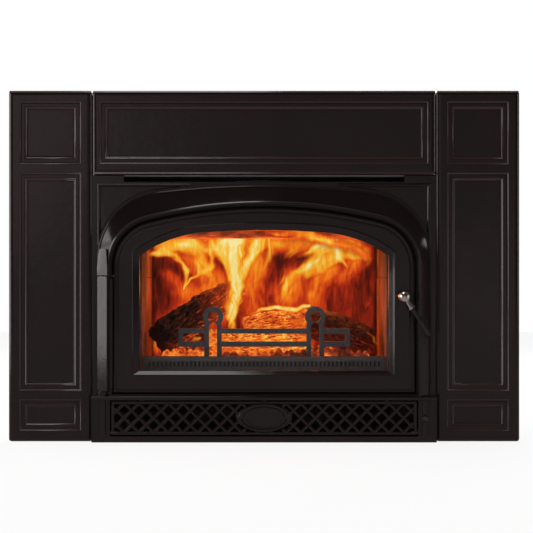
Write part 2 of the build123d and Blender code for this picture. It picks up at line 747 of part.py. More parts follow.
# a spacer in front of the cam and a nut behind it
with BuildPart() as latch_collars:
    tube((latch_x, door_back + moving_gap, latch_z), (latch_x, cam_front, latch_z), latch_hub_radius,
         latch_shaft_radius + seat_fit)
    with BuildSketch(front_plane(cam_front + cam_thickness)) as nut_face:
        with Locations((latch_x, latch_z)):
            RegularPolygon(latch_hub_radius, 6)
            Circle(latch_shaft_radius + seat_fit, mode=Mode.SUBTRACT)
    extrude(nut_face.sketch, amount=-nut_thickness)
save(latch_collars, "latch_collars")

with BuildPart() as latch_cam:
    with BuildSketch(front_plane(cam_front)) as cam_face:
        with Locations((latch_x, latch_z)):
            Circle(latch_hub_radius)
        with Locations((latch_x + cam_reach / 2, latch_z)):
            Rectangle(cam_reach, cam_arm_width)
        with Locations((latch_x, latch_z)):
            Circle(latch_shaft_radius + seat_fit, mode=Mode.SUBTRACT)
    extrude(cam_face.sketch, amount=-cam_thickness)
save(latch_cam, "latch_cam")

# ---------------------------------------------------------------- firebox
# A welded steel box, open to the front casting, with brick on its floor and walls.
firebox_inner = firebox_half_width - shell_thickness
firebox_floor = firebox_bottom + shell_thickness
brick_face = firebox_inner - brick_thickness
brick_joint = 1
brick_front = firebox_front + 18
rear_brick_face = firebox_back - shell_thickness - brick_thickness
hearth_top = firebox_floor + brick_thickness
course_top = firebox_floor + brick_height
tube_radius = 10
rail_thickness = 4
tube_drop = 74
tube_z = firebox_top - tube_drop
rail_top = tube_z - tube_radius
brick_top = rail_top - rail_thickness
side_columns = 3
rear_columns = 4
floor_columns = 4
flue_bore = flue_bore_radius + 1
collar_flange_radius = flue_bore_radius + 24
collar_bolt_ring = (flue_bore_radius + flue_wall + collar_flange_radius) / 2
collar_bolt_radius = 4
collar_bolt_places = [(collar_bolt_ring * cos(radians(angle)),
                       flue_y + collar_bolt_ring * sin(radians(angle))) for angle in (45, 135, 225, 315)]

with BuildPart() as firebox_shell:
    block((-firebox_half_width, firebox_half_width), (firebox_front, firebox_back),
          (firebox_bottom, firebox_top))
    block((-firebox_inner, firebox_inner), (firebox_front, firebox_back - shell_thickness),
          (firebox_floor, firebox_top - shell_thickness), Mode.SUBTRACT)
    rod((0, flue_y, firebox_top - shell_thickness), (0, flue_y, firebox_top), flue_bore, Mode.SUBTRACT)
    for x, y in collar_bolt_places:
        rod((x, y, firebox_top - shell_thickness), (x, y, firebox_top), collar_bolt_radius + bolt_clearance,
            Mode.SUBTRACT)
    block((firebox_inner - 1, firebox_half_width), (firebox_front, firebox_front + 12), latch_notch,
          Mode.SUBTRACT)
    block((intake_x[0] + intake_sheet, firebox_inner - intake_sheet), grown(port_y, -2),
          (firebox_bottom, firebox_floor), Mode.SUBTRACT)
save(firebox_shell, "firebox_shell")


def brick_wall(along, count, levels, place):
    """Lay upright bricks side by side; place turns (along, level) pairs into a block."""
    width = (along[1] - along[0] + brick_joint) / count
    for index in range(count):
        low = along[0] + index * width
        for level in levels:
            place((low, low + width - brick_joint), level)


courses = ((firebox_floor, course_top - brick_joint), (course_top, brick_top))
for side, name in ((-1, "side_bricks_left"), (1, "side_bricks_right")):
    wall_x = sorted((side * brick_face, side * firebox_inner))
    with BuildPart() as side_bricks:
        brick_wall((brick_front, rear_brick_face - brick_joint), side_columns, courses,
                   lambda along, level: block(wall_x, along, level))
    save(side_bricks, name)

with BuildPart() as rear_bricks:
    brick_wall((-firebox_inner, firebox_inner), rear_columns, courses,
               lambda along, level: block(along, (rear_brick_face, firebox_back - shell_thickness), level))
save(rear_bricks, "rear_bricks")

with BuildPart() as floor_bricks:
    rows = [(brick_front, (brick_front + rear_brick_face) / 2 - brick_joint),
            ((brick_front + rear_brick_face) / 2, rear_brick_face - brick_joint)]
    brick_wall((-brick_face + brick_joint, brick_face - brick_joint), floor_columns, rows,
               lambda along, row: block(along, row, (firebox_floor, hearth_top)))
save(floor_bricks, "floor_bricks")

# ribbed bar behind the glass, which feeds air low across the fire
air_bar_top = hearth_top + 37
air_bar_y = (brick_front + 3, brick_front + 21)
rib_pitch = 8.6
rib_slot = 4
rib_z = (air_bar_top - 21, air_bar_top - 10)
rib_depth = 4
with BuildPart() as air_bar:
    block((-brick_face + 2, brick_face - 2), air_bar_y, (hearth_top, air_bar_top))
    fillet(edges().filter_by(Axis.X).group_by(Axis.Z)[-1], 3)
    with BuildSketch(front_plane(air_bar_y[0])) as slots:
        with Locations((0, sum(rib_z) / 2)):
            with GridLocations(rib_pitch, 1, int(2 * brick_face / rib_pitch) - 2, 1):
                Rectangle(rib_slot, rib_z[1] - rib_z[0])
    extrude(slots.sketch, amount=-rib_depth, mode=Mode.SUBTRACT)
save(air_bar, "hearth_air_bar")

# ---------------------------------------------------------------- andiron
# One flat casting: two ringed posts, two long bars between them, and a foot at each end.
andiron_y = (brick_front + 34, brick_front + 44)
post_x = 106.5
ring_z = hearth_top + 118
ring_radius = 20.5
ring_bore = 12
post_half = 17.5
post_leg = 8.3
post_top = ring_z - ring_radius + 0.5
upper_bar_z = ring_z - 30
lower_bar_z = ring_z - 57
bar_half = 4.5
foot_height = 8
andiron_half = 178
foot_reach = 46


def bar(x, z):
    """Add an upright or level bar of the andiron's face to the sketch being drawn."""
    with Locations((sum(x) / 2, sum(z) / 2)):
        Rectangle(abs(x[1] - x[0]), z[1] - z[0])


with BuildPart() as andiron:
    with BuildSketch(front_plane(andiron_y[0])) as andiron_face:
        bar((-andiron_half, andiron_half), (upper_bar_z - bar_half, upper_bar_z + bar_half))
        bar((-andiron_half, andiron_half), (lower_bar_z - bar_half, lower_bar_z + bar_half))
        for side in (-1, 1):
            bar((side * andiron_half, side * (andiron_half - post_leg)), (lower_bar_z, upper_bar_z))
            with Locations((side * post_x, post_top)):
                Circle(post_half)
            bar((side * post_x - post_half, side * post_x + post_half), (hearth_top, post_top))
            with Locations((side * post_x, ring_z)):
                Circle(ring_radius)
        for side in (-1, 1):
            with Locations((side * post_x, post_top)):
                Circle(post_half - post_leg, mode=Mode.SUBTRACT)
            with Locations((side * post_x, (hearth_top + post_top) / 2)):
                Rectangle(2 * (post_half - post_leg), post_top - hearth_top, mode=Mode.SUBTRACT)
            with Locations((side * post_x, ring_z)):
                Circle(ring_bore, mode=Mode.SUBTRACT)
    extrude(andiron_face.sketch, amount=-(andiron_y[1] - andiron_y[0]))
    for side in (-1, 1):
        for edge in (-1, 1):
            leg_x = sorted((side * post_x + edge * post_half, side * post_x + edge * (post_half - post_leg)))
            block(leg_x, (andiron_y[1], andiron_y[1] + foot_reach), (hearth_top, hearth_top + foot_height))
save(andiron, "andiron")

# ---------------------------------------------------------------- secondary air and baffle
tube_count = 4
first_tube_y = brick_front + 62
last_tube_y = rear_brick_face - 81
tube_pitch = (last_tube_y - first_tube_y) / (tube_count - 1)
tube_rows = [first_tube_y + row * tube_pitch for row in range(tube_count)]
board_thickness = 20
board_y = (tube_rows[0] - tube_radius, rear_brick_face - 20)
rail_inner = brick_face + 2

with BuildPart() as tube_rails:
    for side in (-1, 1):
        rail_x = sorted((side * rail_inner, side * (firebox_inner - 0.5)))
        block(rail_x, (board_y[0] - 10, rear_brick_face), (brick_top, rail_top))
save(tube_rails, "tube_rails")

with BuildPart() as air_tubes:
    for y in tube_rows:
        tube((-firebox_inner + 1, y, tube_z), (firebox_inner - 1, y, tube_z), tube_radius, tube_radius - 2)
    clip_x = -60
    clip_y = tube_rows[0] - tube_radius
    block((clip_x - 5, clip_x + 5), (clip_y - 2, clip_y + 4), (rail_top, tube_z + 4))
save(air_tubes, "air_tubes")

with BuildPart() as baffle_boards:
    for side in (-1, 1):
        block(sorted((side * brick_joint / 2, side * (firebox_inner - 1))), board_y,
              (tube_z + tube_radius, tube_z + tube_radius + board_thickness))
save(baffle_boards, "baffle_boards")

# folded channel at the top of the opening that turns hot air down over the glass
airwash_z = (firebox_top - shell_thickness - 36, firebox_top - shell_thickness)
airwash_depth = 30
airwash_sheet = 3
with BuildPart() as airwash:
    channel_x = (-firebox_inner + 1, firebox_inner - 1)
    block(channel_x, (firebox_front, firebox_front + airwash_depth), airwash_z)
    block(channel_x, (firebox_front, firebox_front + airwash_depth - airwash_sheet),
          (airwash_z[0] + airwash_sheet, airwash_z[1]), Mode.SUBTRACT)
    block(grown(channel_x, -20), (firebox_front, firebox_front + 6),
          (airwash_z[0], airwash_z[0] + airwash_sheet), Mode.SUBTRACT)
save(airwash, "airwash_channel")

# ---------------------------------------------------------------- logs and embers
log_facets = 11
left_log_ends = ((30 - brick_face, brick_front + 90, hearth_top + 70),
                 (188 - brick_face, brick_front + 228, hearth_top + 168))
left_log_radii = (41, 44, 37)
right_log_ends = ((brick_face - 168, brick_front + 214, hearth_top + 109),
                  (brick_face - 30, brick_front + 104, hearth_top + 58))
right_log_radii = (36, 40, 36)
centre_log_ends = ((132 - brick_face, brick_front + 124, hearth_top + 56),
                   (brick_face - 160, brick_front + 134, hearth_top + 60))
centre_log_radii = (32, 36, 31)
ember_top = hearth_top + 34
ember_margin = 14
ember_corner = 40


def log(ends, radii, turn):
    """Add a split log, thicker in the middle, as a ruled loft of three facetted rounds."""
    start, end = Vector(*ends[0]), Vector(*ends[1])
    way = (end - start).normalized()
    rounds = []
    for share, radius in zip((0, 0.5, 1), radii):
        middle = start + (end - start) * share
        with BuildSketch(Plane(origin=middle, x_dir=way.cross(Vector(0, 0, 1)), z_dir=way)) as section:
            RegularPolygon(radius, log_facets, rotation=turn)
        rounds.append(section.sketch)
    loft(sections=rounds[:2], ruled=True)
    loft(sections=rounds[1:], ruled=True)


with BuildPart() as log_left:
    log(left_log_ends, left_log_radii, 0)
save(log_left, "log_left")

with BuildPart() as log_right:
    log(right_log_ends, right_log_radii, 10)
save(log_right, "log_right")

with BuildPart() as log_centre:
    log(centre_log_ends, centre_log_radii, 20)
save(log_centre, "log_centre")

with BuildPart() as ember_bed:
    bed_x = (-brick_face + ember_margin, brick_face - ember_margin)
    bed_y = (andiron_y[1] + 6, rear_brick_face - ember_margin)
    with BuildSketch(Plane.XY.offset(hearth_top)) as bed_foot:
        with Locations((0, sum(bed_y) / 2)):
            RectangleRounded(bed_x[1] - bed_x[0], bed_y[1] - bed_y[0], ember_corner)
    extrude(bed_foot.sketch, amount=ember_top - hearth_top, taper=35)
    for side in (-1, 1):
        block((side * post_x - post_half - 1, side * post_x + post_half + 1),
              (andiron_y[1], andiron_y[1] + foot_reach + 1), (hearth_top, hearth_top + foot_height + 1),
              Mode.SUBTRACT)
    for piece in (log_left, log_right, log_centre):
        add(piece.part, mode=Mode.SUBTRACT)
save(ember_bed, "ember_bed")

# ---------------------------------------------------------------- flue collar
collar_flange = 6
collar_bolt_head_height = 5

with BuildPart() as flue_collar:
    rod((0, flue_y, firebox_top), (0, flue_y, firebox_top + collar_flange), collar_flange_radius)
    rod((0, flue_y, firebox_top), (0, flue_y, flue_top), flue_bore_radius + flue_wall)
    rod((0, flue_y, firebox_top), (0, flue_y, flue_top), flue_bore_radius, Mode.SUBTRACT)
    for x, y in collar_bolt_places:
        rod((x, y, firebox_top), (x, y, firebox_top + collar_flange), collar_bolt_radius + bolt_clearance,
            Mode.SUBTRACT)
save(flue_collar, "flue_collar")

with BuildPart() as collar_bolts:
    for x, y in collar_bolt_places:
        rod((x, y, firebox_top - shell_thickness), (x, y, firebox_top + collar_flange), collar_bolt_radius)
        with BuildSketch(Plane.XY.offset(firebox_top + collar_flange)) as collar_bolt_head:
            with Locations((x, y)):
                RegularPolygon(collar_bolt_radius * 1.8, 6)
        extrude(collar_bolt_head.sketch, amount=collar_bolt_head_height)
save(collar_bolts, "collar_bolts")

# ---------------------------------------------------------------- jacket and base pan
pan_bottom = foot_thickness
pan_top = pan_bottom + jacket_sheet
jacket_flange = 30
inlet_x = (-jacket_half_width - 12, -jacket_half_width + 7)
inlet_y = (45, 75)
inlet_z = (26, 50)
hold_down_x = 200
hold_down_y = jacket_depth - 22
hold_down_radius = 5.5
level_bolt_x = jacket_inner - 40
level_bolt_y = jacket_depth - 42
level_bolt_radius = 5
level_pad_height = 4
level_bolt_rise = 26
lock_nut_height = 3.5
jacket_screw_head = 2.5
base_bolt_head_height = 4

with BuildPart() as jacket:
    block((-jacket_half_width, jacket_half_width), (jacket_front, jacket_depth),
          (pan_bottom, jacket_top))
    block((-jacket_inner, jacket_inner), (jacket_front, jacket_inner_back),
          (pan_bottom, jacket_top - jacket_sheet), Mode.SUBTRACT)
    for side in (-1, 1):
        flange_x = sorted((side * (jacket_inner - jacket_flange), side * jacket_inner))
        block(flange_x, (jacket_front, jacket_front + jacket_sheet),
              (base_height, jacket_top - jacket_sheet))
        for height in casting_screw_heights:
            x = side * casting_screw_x
            rod((x, jacket_front, height), (x, jacket_front + jacket_sheet, height), screw_hole_radius,
                Mode.SUBTRACT)
    rod((0, flue_y, jacket_top - jacket_sheet), (0, flue_y, jacket_top), flue_bore_radius + flue_wall + 2,
        Mode.SUBTRACT)
    block((inlet_x[0], inlet_x[1] - 1), grown(inlet_y, moving_gap), grown(inlet_z, moving_gap),
          Mode.SUBTRACT)
save(jacket, "jacket")

# screws that hold the jacket to the front casting, and bolts that hold that to the base
with BuildPart() as casting_screws:
    for x in base_bolt_x:
        rod((x, base_bolt_y, ledge_bottom), (x, base_bolt_y, base_height + base_bolt_reach - 1), screw_radius)
        with BuildSketch(Plane.XY.offset(ledge_bottom)) as bolt_head:
            with Locations((x, base_bolt_y)):
                RegularPolygon(screw_radius * 1.9, 6)
        extrude(bolt_head.sketch, amount=-base_bolt_head_height)
    for side in (-1, 1):
        for height in casting_screw_heights:
            x = side * casting_screw_x
            head = jacket_front + jacket_sheet
            rod((x, jacket_front - casting_screw_depth + 1, height), (x, head, height), screw_radius)
            rod((x, head, height), (x, head + jacket_screw_head, height), screw_radius * 1.8)
save(casting_screws, "casting_screws")

with BuildPart() as base_pan:
    block((-jacket_inner, jacket_inner), (jacket_front, jacket_inner_back), (pan_bottom, pan_top))
    for side in (-1, 1):
        rod((side * hold_down_x, hold_down_y, pan_bottom), (side * hold_down_x, hold_down_y, pan_top),
            hold_down_radius, Mode.SUBTRACT)
        rod((side * level_bolt_x, level_bolt_y, pan_bottom), (side * level_bolt_x, level_bolt_y, pan_top),
            level_bolt_radius + bolt_clearance, Mode.SUBTRACT)
save(base_pan, "base_pan")

with BuildPart() as levelling_bolts:
    for side in (-1, 1):
        place = (side * level_bolt_x, level_bolt_y)
        rod((*place, 0), (*place, level_pad_height), level_bolt_radius * 2.2)
        rod((*place, level_pad_height), (*place, pan_top + level_bolt_rise), level_bolt_radius)
        with BuildSketch(Plane.XY.offset(pan_top)) as level_nut:
            with Locations(place):
                RegularPolygon(level_bolt_radius * 1.8, 6)
        extrude(level_nut.sketch, amount=8)
        with BuildSketch(Plane.XY.offset(pan_bottom)) as lock_nut:
            with Locations(place):
                RegularPolygon(level_bolt_radius * 1.8, 6)
        extrude(lock_nut.sketch, amount=-lock_nut_height)
save(levelling_bolts, "levelling_bolts")

leg_sheet = 3
leg_reach = 24
leg_bolt_gap = 50
leg_width = 40
leg_pair = (level_bolt_x - leg_bolt_gap - leg_width, level_bolt_x - leg_bolt_gap)

with BuildPart() as firebox_legs:
    for side in (-1, 1):
        leg_x = sorted((side * leg_pair[0], side * leg_pair[1]))
        leg_y = (firebox_back - leg_reach, firebox_back)
        block(leg_x, (leg_y[0], leg_y[0] + leg_sheet), (pan_top, firebox_bottom))
        block(leg_x, leg_y, (firebox_bottom - leg_sheet, firebox_bottom))
        block(leg_x, leg_y, (pan_top, pan_top + leg_sheet))
save(firebox_legs, "firebox_legs")

# ---------------------------------------------------------------- surround brackets and screws
bracket_reach = 40
boss_screw_reach = 8
boss_screw_head = 3
strap_places = [(side * (seam_x + offset), height) for side in (-1, 1)
                for offset in (-strap_reach, strap_reach)
                for height in (strap_low_height, strap_hole_height)]
bracket_places = [(side * (seam_x + strap_reach), height) for side in (-1, 1)
                  for height in side_bracket_heights]

with BuildPart() as surround_straps:
    for side in (-1, 1):
        block(sorted((side * strap_x[0], side * strap_x[1])), (-strap_thickness, 0), strap_z)
    for x, z in strap_places:
        rod((x, -strap_thickness, z), (x, 0, z), boss_screw_radius + bolt_clearance, Mode.SUBTRACT)
save(surround_straps, "surround_straps")

with BuildPart() as side_brackets:
    for side in (-1, 1):
        inner_x = side * (jacket_half_width + strap_thickness)
        block(sorted((side * jacket_half_width, side * strap_x[1])), (-strap_thickness, 0), bracket_z)
        block(sorted((side * jacket_half_width, inner_x)), (-strap_thickness, bracket_reach), bracket_z)
    for x, z in bracket_places:
        rod((x, -strap_thickness, z), (x, 0, z), boss_screw_radius + bolt_clearance, Mode.SUBTRACT)
save(side_brackets, "side_brackets")

with BuildPart() as surround_screws:
    for x, z in strap_places + bracket_places:
        rod((x, -boss_screw_reach, z), (x, 0, z), boss_screw_radius)
        rod((x, 0, z), (x, boss_screw_head, z), boss_screw_radius * 2)
save(surround_screws, "surround_screws")

# ---------------------------------------------------------------- blower
# Two squirrel-cage wheels on one shaft, driven by a motor between them.
housing_sheet = 1.5
housing_radius = blower_wheel_radius + 5
housing_end_gap = 6
motor_to_housing = 14
housing_start = blower_motor_length / 2 + motor_to_housing
wheel_x = (housing_start + housing_end_gap, housing_start + housing_end_gap + blower_wheel_width)
housing_x = (housing_start, wheel_x[1] + housing_end_gap)
blower_shaft_z = pan_top + blower_floor_gap + housing_sheet + housing_radius
inlet_radius = blower_wheel_radius - 8
shaft_radius = 3
outlet_low = blower_shaft_z + 9
outlet_reach = 50
partition_y = (blower_shaft_y + outlet_reach, blower_shaft_y + outlet_reach + jacket_sheet)
partition_half = jacket_inner - 1
wheel_blades = 24
wheel_ring = 5
wheel_sheet = 2
hub_half = 8
shaft_inset = 4
boss_length = 6
motor_foot_sheet = 3
motor_foot_inset = 8
motor_foot_half = 12
foot_screw_radius = 2
foot_screw_head = 2
foot_half_x = 50
foot_y = (blower_shaft_y - 18, blower_shaft_y + 18)
foot_screws = [(side * (foot_half_x - 6), y) for side in (-1, 1)
               for y in (foot_y[0] + 6, foot_y[1] - 6)]


def scroll_outline(x, radius, low, high):
    """A scroll's outline across the shaft: the wheel's round and its outlet duct."""
    with BuildSketch(Plane.YZ.offset(x)) as outline:
        with Locations((blower_shaft_y, blower_shaft_z)):
            Circle(radius)
        with Locations(((blower_shaft_y + partition_y[0]) / 2, (low + high) / 2)):
            Rectangle(partition_y[0] - blower_shaft_y, high - low)
    return outline.sketch


with BuildPart() as blower_housings:
    for side in (-1, 1):
        low, high = sorted((side * housing_x[0], side * housing_x[1]))
        top = blower_shaft_z + housing_radius
        extrude(scroll_outline(low, housing_radius + housing_sheet, outlet_low - housing_sheet,
                               top + housing_sheet), amount=high - low)
        extrude(scroll_outline(low + housing_sheet, housing_radius, outlet_low, top),
                amount=high - low - 2 * housing_sheet, mode=Mode.SUBTRACT)
        rod((low, blower_shaft_y, blower_shaft_z), (high, blower_shaft_y, blower_shaft_z), inlet_radius,
            Mode.SUBTRACT)
save(blower_housings, "blower_housings")

with BuildPart() as blower_wheels:
    for side in (-1, 1):
        low, high = sorted((side * wheel_x[0], side * wheel_x[1]))
        middle = (low + high) / 2
        axis_y, axis_z = blower_shaft_y, blower_shaft_z
        for near in (low, high - wheel_sheet):
            tube((near, axis_y, axis_z), (near + wheel_sheet, axis_y, axis_z), blower_wheel_radius,
                 blower_wheel_radius - wheel_ring)
        rod((middle - wheel_sheet / 2, axis_y, axis_z), (middle + wheel_sheet / 2, axis_y, axis_z),
            blower_wheel_radius)
        rod((middle - hub_half, axis_y, axis_z), (middle + hub_half, axis_y, axis_z), shaft_radius * 2.6)
        with BuildSketch(Plane.YZ.offset(low)) as blades:
            with Locations((axis_y, axis_z)):
                with PolarLocations(blower_wheel_radius - wheel_ring / 2, wheel_blades):
                    Rectangle(wheel_ring * 0.8, 1, rotation=35)
        extrude(blades.sketch, amount=high - low)
        rod((low, axis_y, axis_z), (high, axis_y, axis_z), shaft_radius + seat_fit, Mode.SUBTRACT)
save(blower_wheels, "blower_wheels")

with BuildPart() as blower_shaft:
    shaft_half = wheel_x[1] - shaft_inset
    rod((-shaft_half, blower_shaft_y, blower_shaft_z), (shaft_half, blower_shaft_y, blower_shaft_z),
        shaft_radius)
save(blower_shaft, "blower_shaft")

with BuildPart() as blower_motor:
    half = blower_motor_length / 2
    boss_half = half + boss_length
    rod((-half, blower_shaft_y, blower_shaft_z), (half, blower_shaft_y, blower_shaft_z),
        blower_motor_radius)
    fillet(edges().filter_by(GeomType.CIRCLE), blower_motor_radius / 8)
    rod((-boss_half, blower_shaft_y, blower_shaft_z), (boss_half, blower_shaft_y, blower_shaft_z),
        shaft_radius * 3)
    block((-half + motor_foot_inset, half - motor_foot_inset),
          (blower_shaft_y - motor_foot_half, blower_shaft_y + motor_foot_half), (pan_top, blower_shaft_z))
    block((-foot_half_x, foot_half_x), foot_y, (pan_top, pan_top + motor_foot_sheet))
    rod((-boss_half, blower_shaft_y, blower_shaft_z), (boss_half, blower_shaft_y, blower_shaft_z),
        shaft_radius + running_fit, Mode.SUBTRACT)
    for x, y in foot_screws:
        rod((x, y, pan_top), (x, y, pan_top + motor_foot_sheet), foot_screw_radius + bolt_clearance,
            Mode.SUBTRACT)
save(blower_motor, "blower_motor")

with BuildPart() as blower_screws:
    for x, y in foot_screws:
        head = pan_top + motor_foot_sheet
        rod((x, y, pan_top), (x, y, head), foot_screw_radius)
        rod((x, y, head), (x, y, head + foot_screw_head), foot_screw_radius * 1.9)
save(blower_screws, "blower_screws")

with BuildPart() as partition:
    block((-partition_half, partition_half), partition_y, (pan_top, firebox_bottom))
    for side in (-1, 1):
        outlet_x = grown(sorted((side * housing_x[0], side * housing_x[1])), -housing_sheet - 1)
        block(outlet_x, partition_y, (outlet_low + 1, blower_shaft_z + housing_radius - 1), Mode.SUBTRACT)
save(partition, "partition_plate")

# ---------------------------------------------------------------- electrical pieces
junction_x = (inlet_x[1], inlet_x[1] + 40)
junction_y = (inlet_y[0] - 15, inlet_y[1] + 15)
junction_z = (pan_top, inlet_z[1] + 8)
disc_place = (-150, 200)
disc_radius = 12
disc_height = 8
disc_tab = (5, 0.8, 7)
box_sheet = 1.5
inlet_socket_depth = 8
inlet_wall = 4
inlet_pin = (1, 2)
inlet_pins = ((-7, 2), (0, -3), (7, 2))

with BuildPart() as junction_box:
    block(junction_x, junction_y, junction_z)
    block(grown(junction_x, -box_sheet), grown(junction_y, -box_sheet), grown(junction_z, -box_sheet),
          Mode.SUBTRACT)
    fillet(edges().filter_by(Axis.X).group_by(Axis.Z)[-1], 1)
save(junction_box, "junction_box")

with BuildPart() as power_inlet:
    block(inlet_x, inlet_y, inlet_z)
    fillet(edges().filter_by(Axis.X), 3)
    block((inlet_x[0], inlet_x[0] + inlet_socket_depth), grown(inlet_y, -inlet_wall),
          grown(inlet_z, -inlet_wall), Mode.SUBTRACT)
    for shift, lift in inlet_pins:
        pin_y = sum(inlet_y) / 2 + shift
        pin_z = sum(inlet_z) / 2 + lift
        block((inlet_x[0] + 2, inlet_x[0] + inlet_socket_depth + 1),
              (pin_y - inlet_pin[0], pin_y + inlet_pin[0]), (pin_z - inlet_pin[1], pin_z + inlet_pin[1]))
save(power_inlet, "power_inlet")

with BuildPart() as thermostat:
    rod((*disc_place, firebox_bottom - disc_height), (*disc_place, firebox_bottom), disc_radius)
    for side in (-1, 1):
        x, y = disc_place
        middle = x + side * disc_tab[0]
        block((middle - disc_tab[0] / 2, middle + disc_tab[0] / 2),
              (y - disc_tab[1] / 2, y + disc_tab[1] / 2),
              (firebox_bottom - disc_height - disc_tab[2], firebox_bottom - disc_height))
save(thermostat, "fan_thermostat")
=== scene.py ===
from math import acos, asin, cos, pi, radians, sin

import bmesh
import bpy
import numpy as np
from mathutils import Matrix, Vector, noise
from mathutils.geometry import tessellate_polygon


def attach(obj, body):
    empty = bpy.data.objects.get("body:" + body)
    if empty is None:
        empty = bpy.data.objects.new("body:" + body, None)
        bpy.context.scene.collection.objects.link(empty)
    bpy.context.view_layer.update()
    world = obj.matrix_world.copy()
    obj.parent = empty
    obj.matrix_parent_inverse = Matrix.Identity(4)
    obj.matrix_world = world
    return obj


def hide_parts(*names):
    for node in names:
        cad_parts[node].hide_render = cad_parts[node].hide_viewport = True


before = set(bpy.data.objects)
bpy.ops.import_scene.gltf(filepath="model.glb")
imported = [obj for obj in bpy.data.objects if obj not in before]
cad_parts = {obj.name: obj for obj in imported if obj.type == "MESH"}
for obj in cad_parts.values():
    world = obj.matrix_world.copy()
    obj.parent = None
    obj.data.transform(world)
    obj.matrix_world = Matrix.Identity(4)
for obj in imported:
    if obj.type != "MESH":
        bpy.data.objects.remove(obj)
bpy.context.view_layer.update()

# ---------------------------------------------------------------- camera, lamps and studio
# A long lens, level and square to the front, as in the photograph. The backdrop is white, the room
# behind the camera is dim, and a tall softbox stands on the left with narrow lamps above and right.
scene = bpy.context.scene
scene.view_settings.view_transform = "Standard"

front_plane_y = -0.022
camera_distance = 3.0
camera_x, camera_z = 0.0049, 0.3565
view_width = 1.0857
sensor_width = 36


def placed(name, data):
    """A new object in the scene that carries a camera, a lamp or a mesh."""
    made = bpy.data.objects.new(name, data)
    scene.collection.objects.link(made)
    return made


camera_data = bpy.data.cameras.new("camera")
camera_data.sensor_width = sensor_width
camera_data.lens = sensor_width * camera_distance / view_width
camera = placed("camera", camera_data)
camera.location = (camera_x, front_plane_y - camera_distance, camera_z)
camera.rotation_euler = (radians(90), 0, 0)
scene.camera = camera


def softbox(name, place, target, size, power, colour=(1, 1, 1)):
    """Hang a flat studio lamp that faces a point."""
    lamp = bpy.data.lights.new(name, "AREA")
    lamp.shape = "RECTANGLE"
    lamp.size, lamp.size_y = size
    lamp.energy = power
    lamp.color = colour
    holder = placed(name, lamp)
    holder.location = place
    holder.rotation_euler = (Vector(target) - Vector(place)).to_track_quat("-Z", "Y").to_euler()


softbox("left_softbox", (-2.7, -1.5, 0.5), (0, 0, 0.35), (1.0, 2.2), 22, (1, 0.95, 0.95))
softbox("right_softbox", (2.9, -1.3, 0.7), (0, 0, 0.35), (0.55, 1.1), 5.6)
softbox("edge_softbox", (-2.8, -0.42, 0.7), (0, 0, 0.35), (0.95, 2.4), 17, (1, 0.91, 0.93))
softbox("side_softbox", (-2.8, 0.9, 0.7), (0, 0, 0.35), (2.2, 2.4), 40, (1, 0.93, 0.94))
softbox("top_strip", (-0.3, 0.05, 2.6), (0, 0, 0.4), (2.6, 0.6), 15)
softbox("back_softbox", (0.8, 2.6, 1.8), (0, 0.2, 0.3), (1.8, 1.4), 45)


def wire(tree, kind, settings=None, **inputs):
    """Add a node, by its short name if it is a shader's; an input is a value or another's output."""
    made = tree.nodes.new(kind if "Node" in kind else "ShaderNode" + kind)
    for name, value in (settings or {}).items():
        setattr(made, name, value)
    for name, value in inputs.items():
        place = int(name[1:]) if name[1:].isdigit() else name.replace("_", " ")
        if isinstance(value, bpy.types.NodeSocket):
            tree.links.new(value, made.inputs[place])
        else:
            made.inputs[place].default_value = value
    return made


world = bpy.data.worlds.new("studio")
scene.world = world
world.use_nodes = True
sky = world.node_tree
sky.nodes.clear()
sky_out = sky.nodes.new("ShaderNodeOutputWorld")
white_backdrop = wire(sky, "Background", Color=(1, 1, 1, 1), Strength=1)
soft_room = wire(sky, "Background", Color=(0.62, 0.60, 0.60, 1), Strength=1)
# what the gloss sees: white beside and behind the insert, less on the right, and before it a dim
# warm room with a lighter wall at the upper left and a lower one at the right
way = wire(sky, "TexCoord")
parts = wire(sky, "SeparateXYZ", i0=way.outputs["Generated"])


def lit_wall(direction, reach, level, under):
    """Lighten the room towards one direction, over what is already there."""
    away = wire(sky, "VectorMath", {"operation": "DISTANCE"}, i0=way.outputs["Generated"], i1=direction)
    share = wire(sky, "MapRange", {"interpolation_type": "SMOOTHSTEP"}, i0=away.outputs["Value"], i1=0.0,
                 i2=reach, i3=level, i4=0.0)
    return wire(sky, "Math", {"operation": "ADD"}, i0=share.outputs[0], i1=under)


front_wall = lit_wall((0, -1, 0), 0.65, 0.20, 0.04)
left_wall = lit_wall((-0.19, -0.97, 0.10), 0.17, 0.50, front_wall.outputs[0])
right_wall = lit_wall((0.16, -0.98, -0.05), 0.12, 0.24, left_wall.outputs[0])
behind = wire(sky, "MapRange", i0=parts.outputs["Y"], i1=-0.10, i2=0.14, i3=0, i4=1)
to_right = wire(sky, "MapRange", i0=parts.outputs["X"], i1=0.15, i2=0.65, i3=0.9, i4=0.30)
dim = wire(sky, "Mix", {"data_type": "FLOAT"}, i0=behind.outputs[0], i2=right_wall.outputs[0],
           i3=to_right.outputs[0])
warm = wire(sky, "VectorMath", {"operation": "SCALE"}, i0=(1.0, 0.83, 0.83), i3=dim.outputs[0])
glossy_room = wire(sky, "Background", Color=warm.outputs[0], Strength=1)
seen = wire(sky, "LightPath")
clear = wire(sky, "Math", {"operation": "MAXIMUM"}, i0=seen.outputs["Is Camera Ray"],
             i1=seen.outputs["Is Transmission Ray"])
soft_or_gloss = wire(sky, "MixShader", i0=seen.outputs["Is Glossy Ray"], i1=soft_room.outputs[0],
                     i2=glossy_room.outputs[0])
choose = wire(sky, "MixShader", i0=clear.outputs[0], i1=soft_or_gloss.outputs[0],
              i2=white_backdrop.outputs[0])
sky.links.new(choose.outputs[0], sky_out.inputs["Surface"])


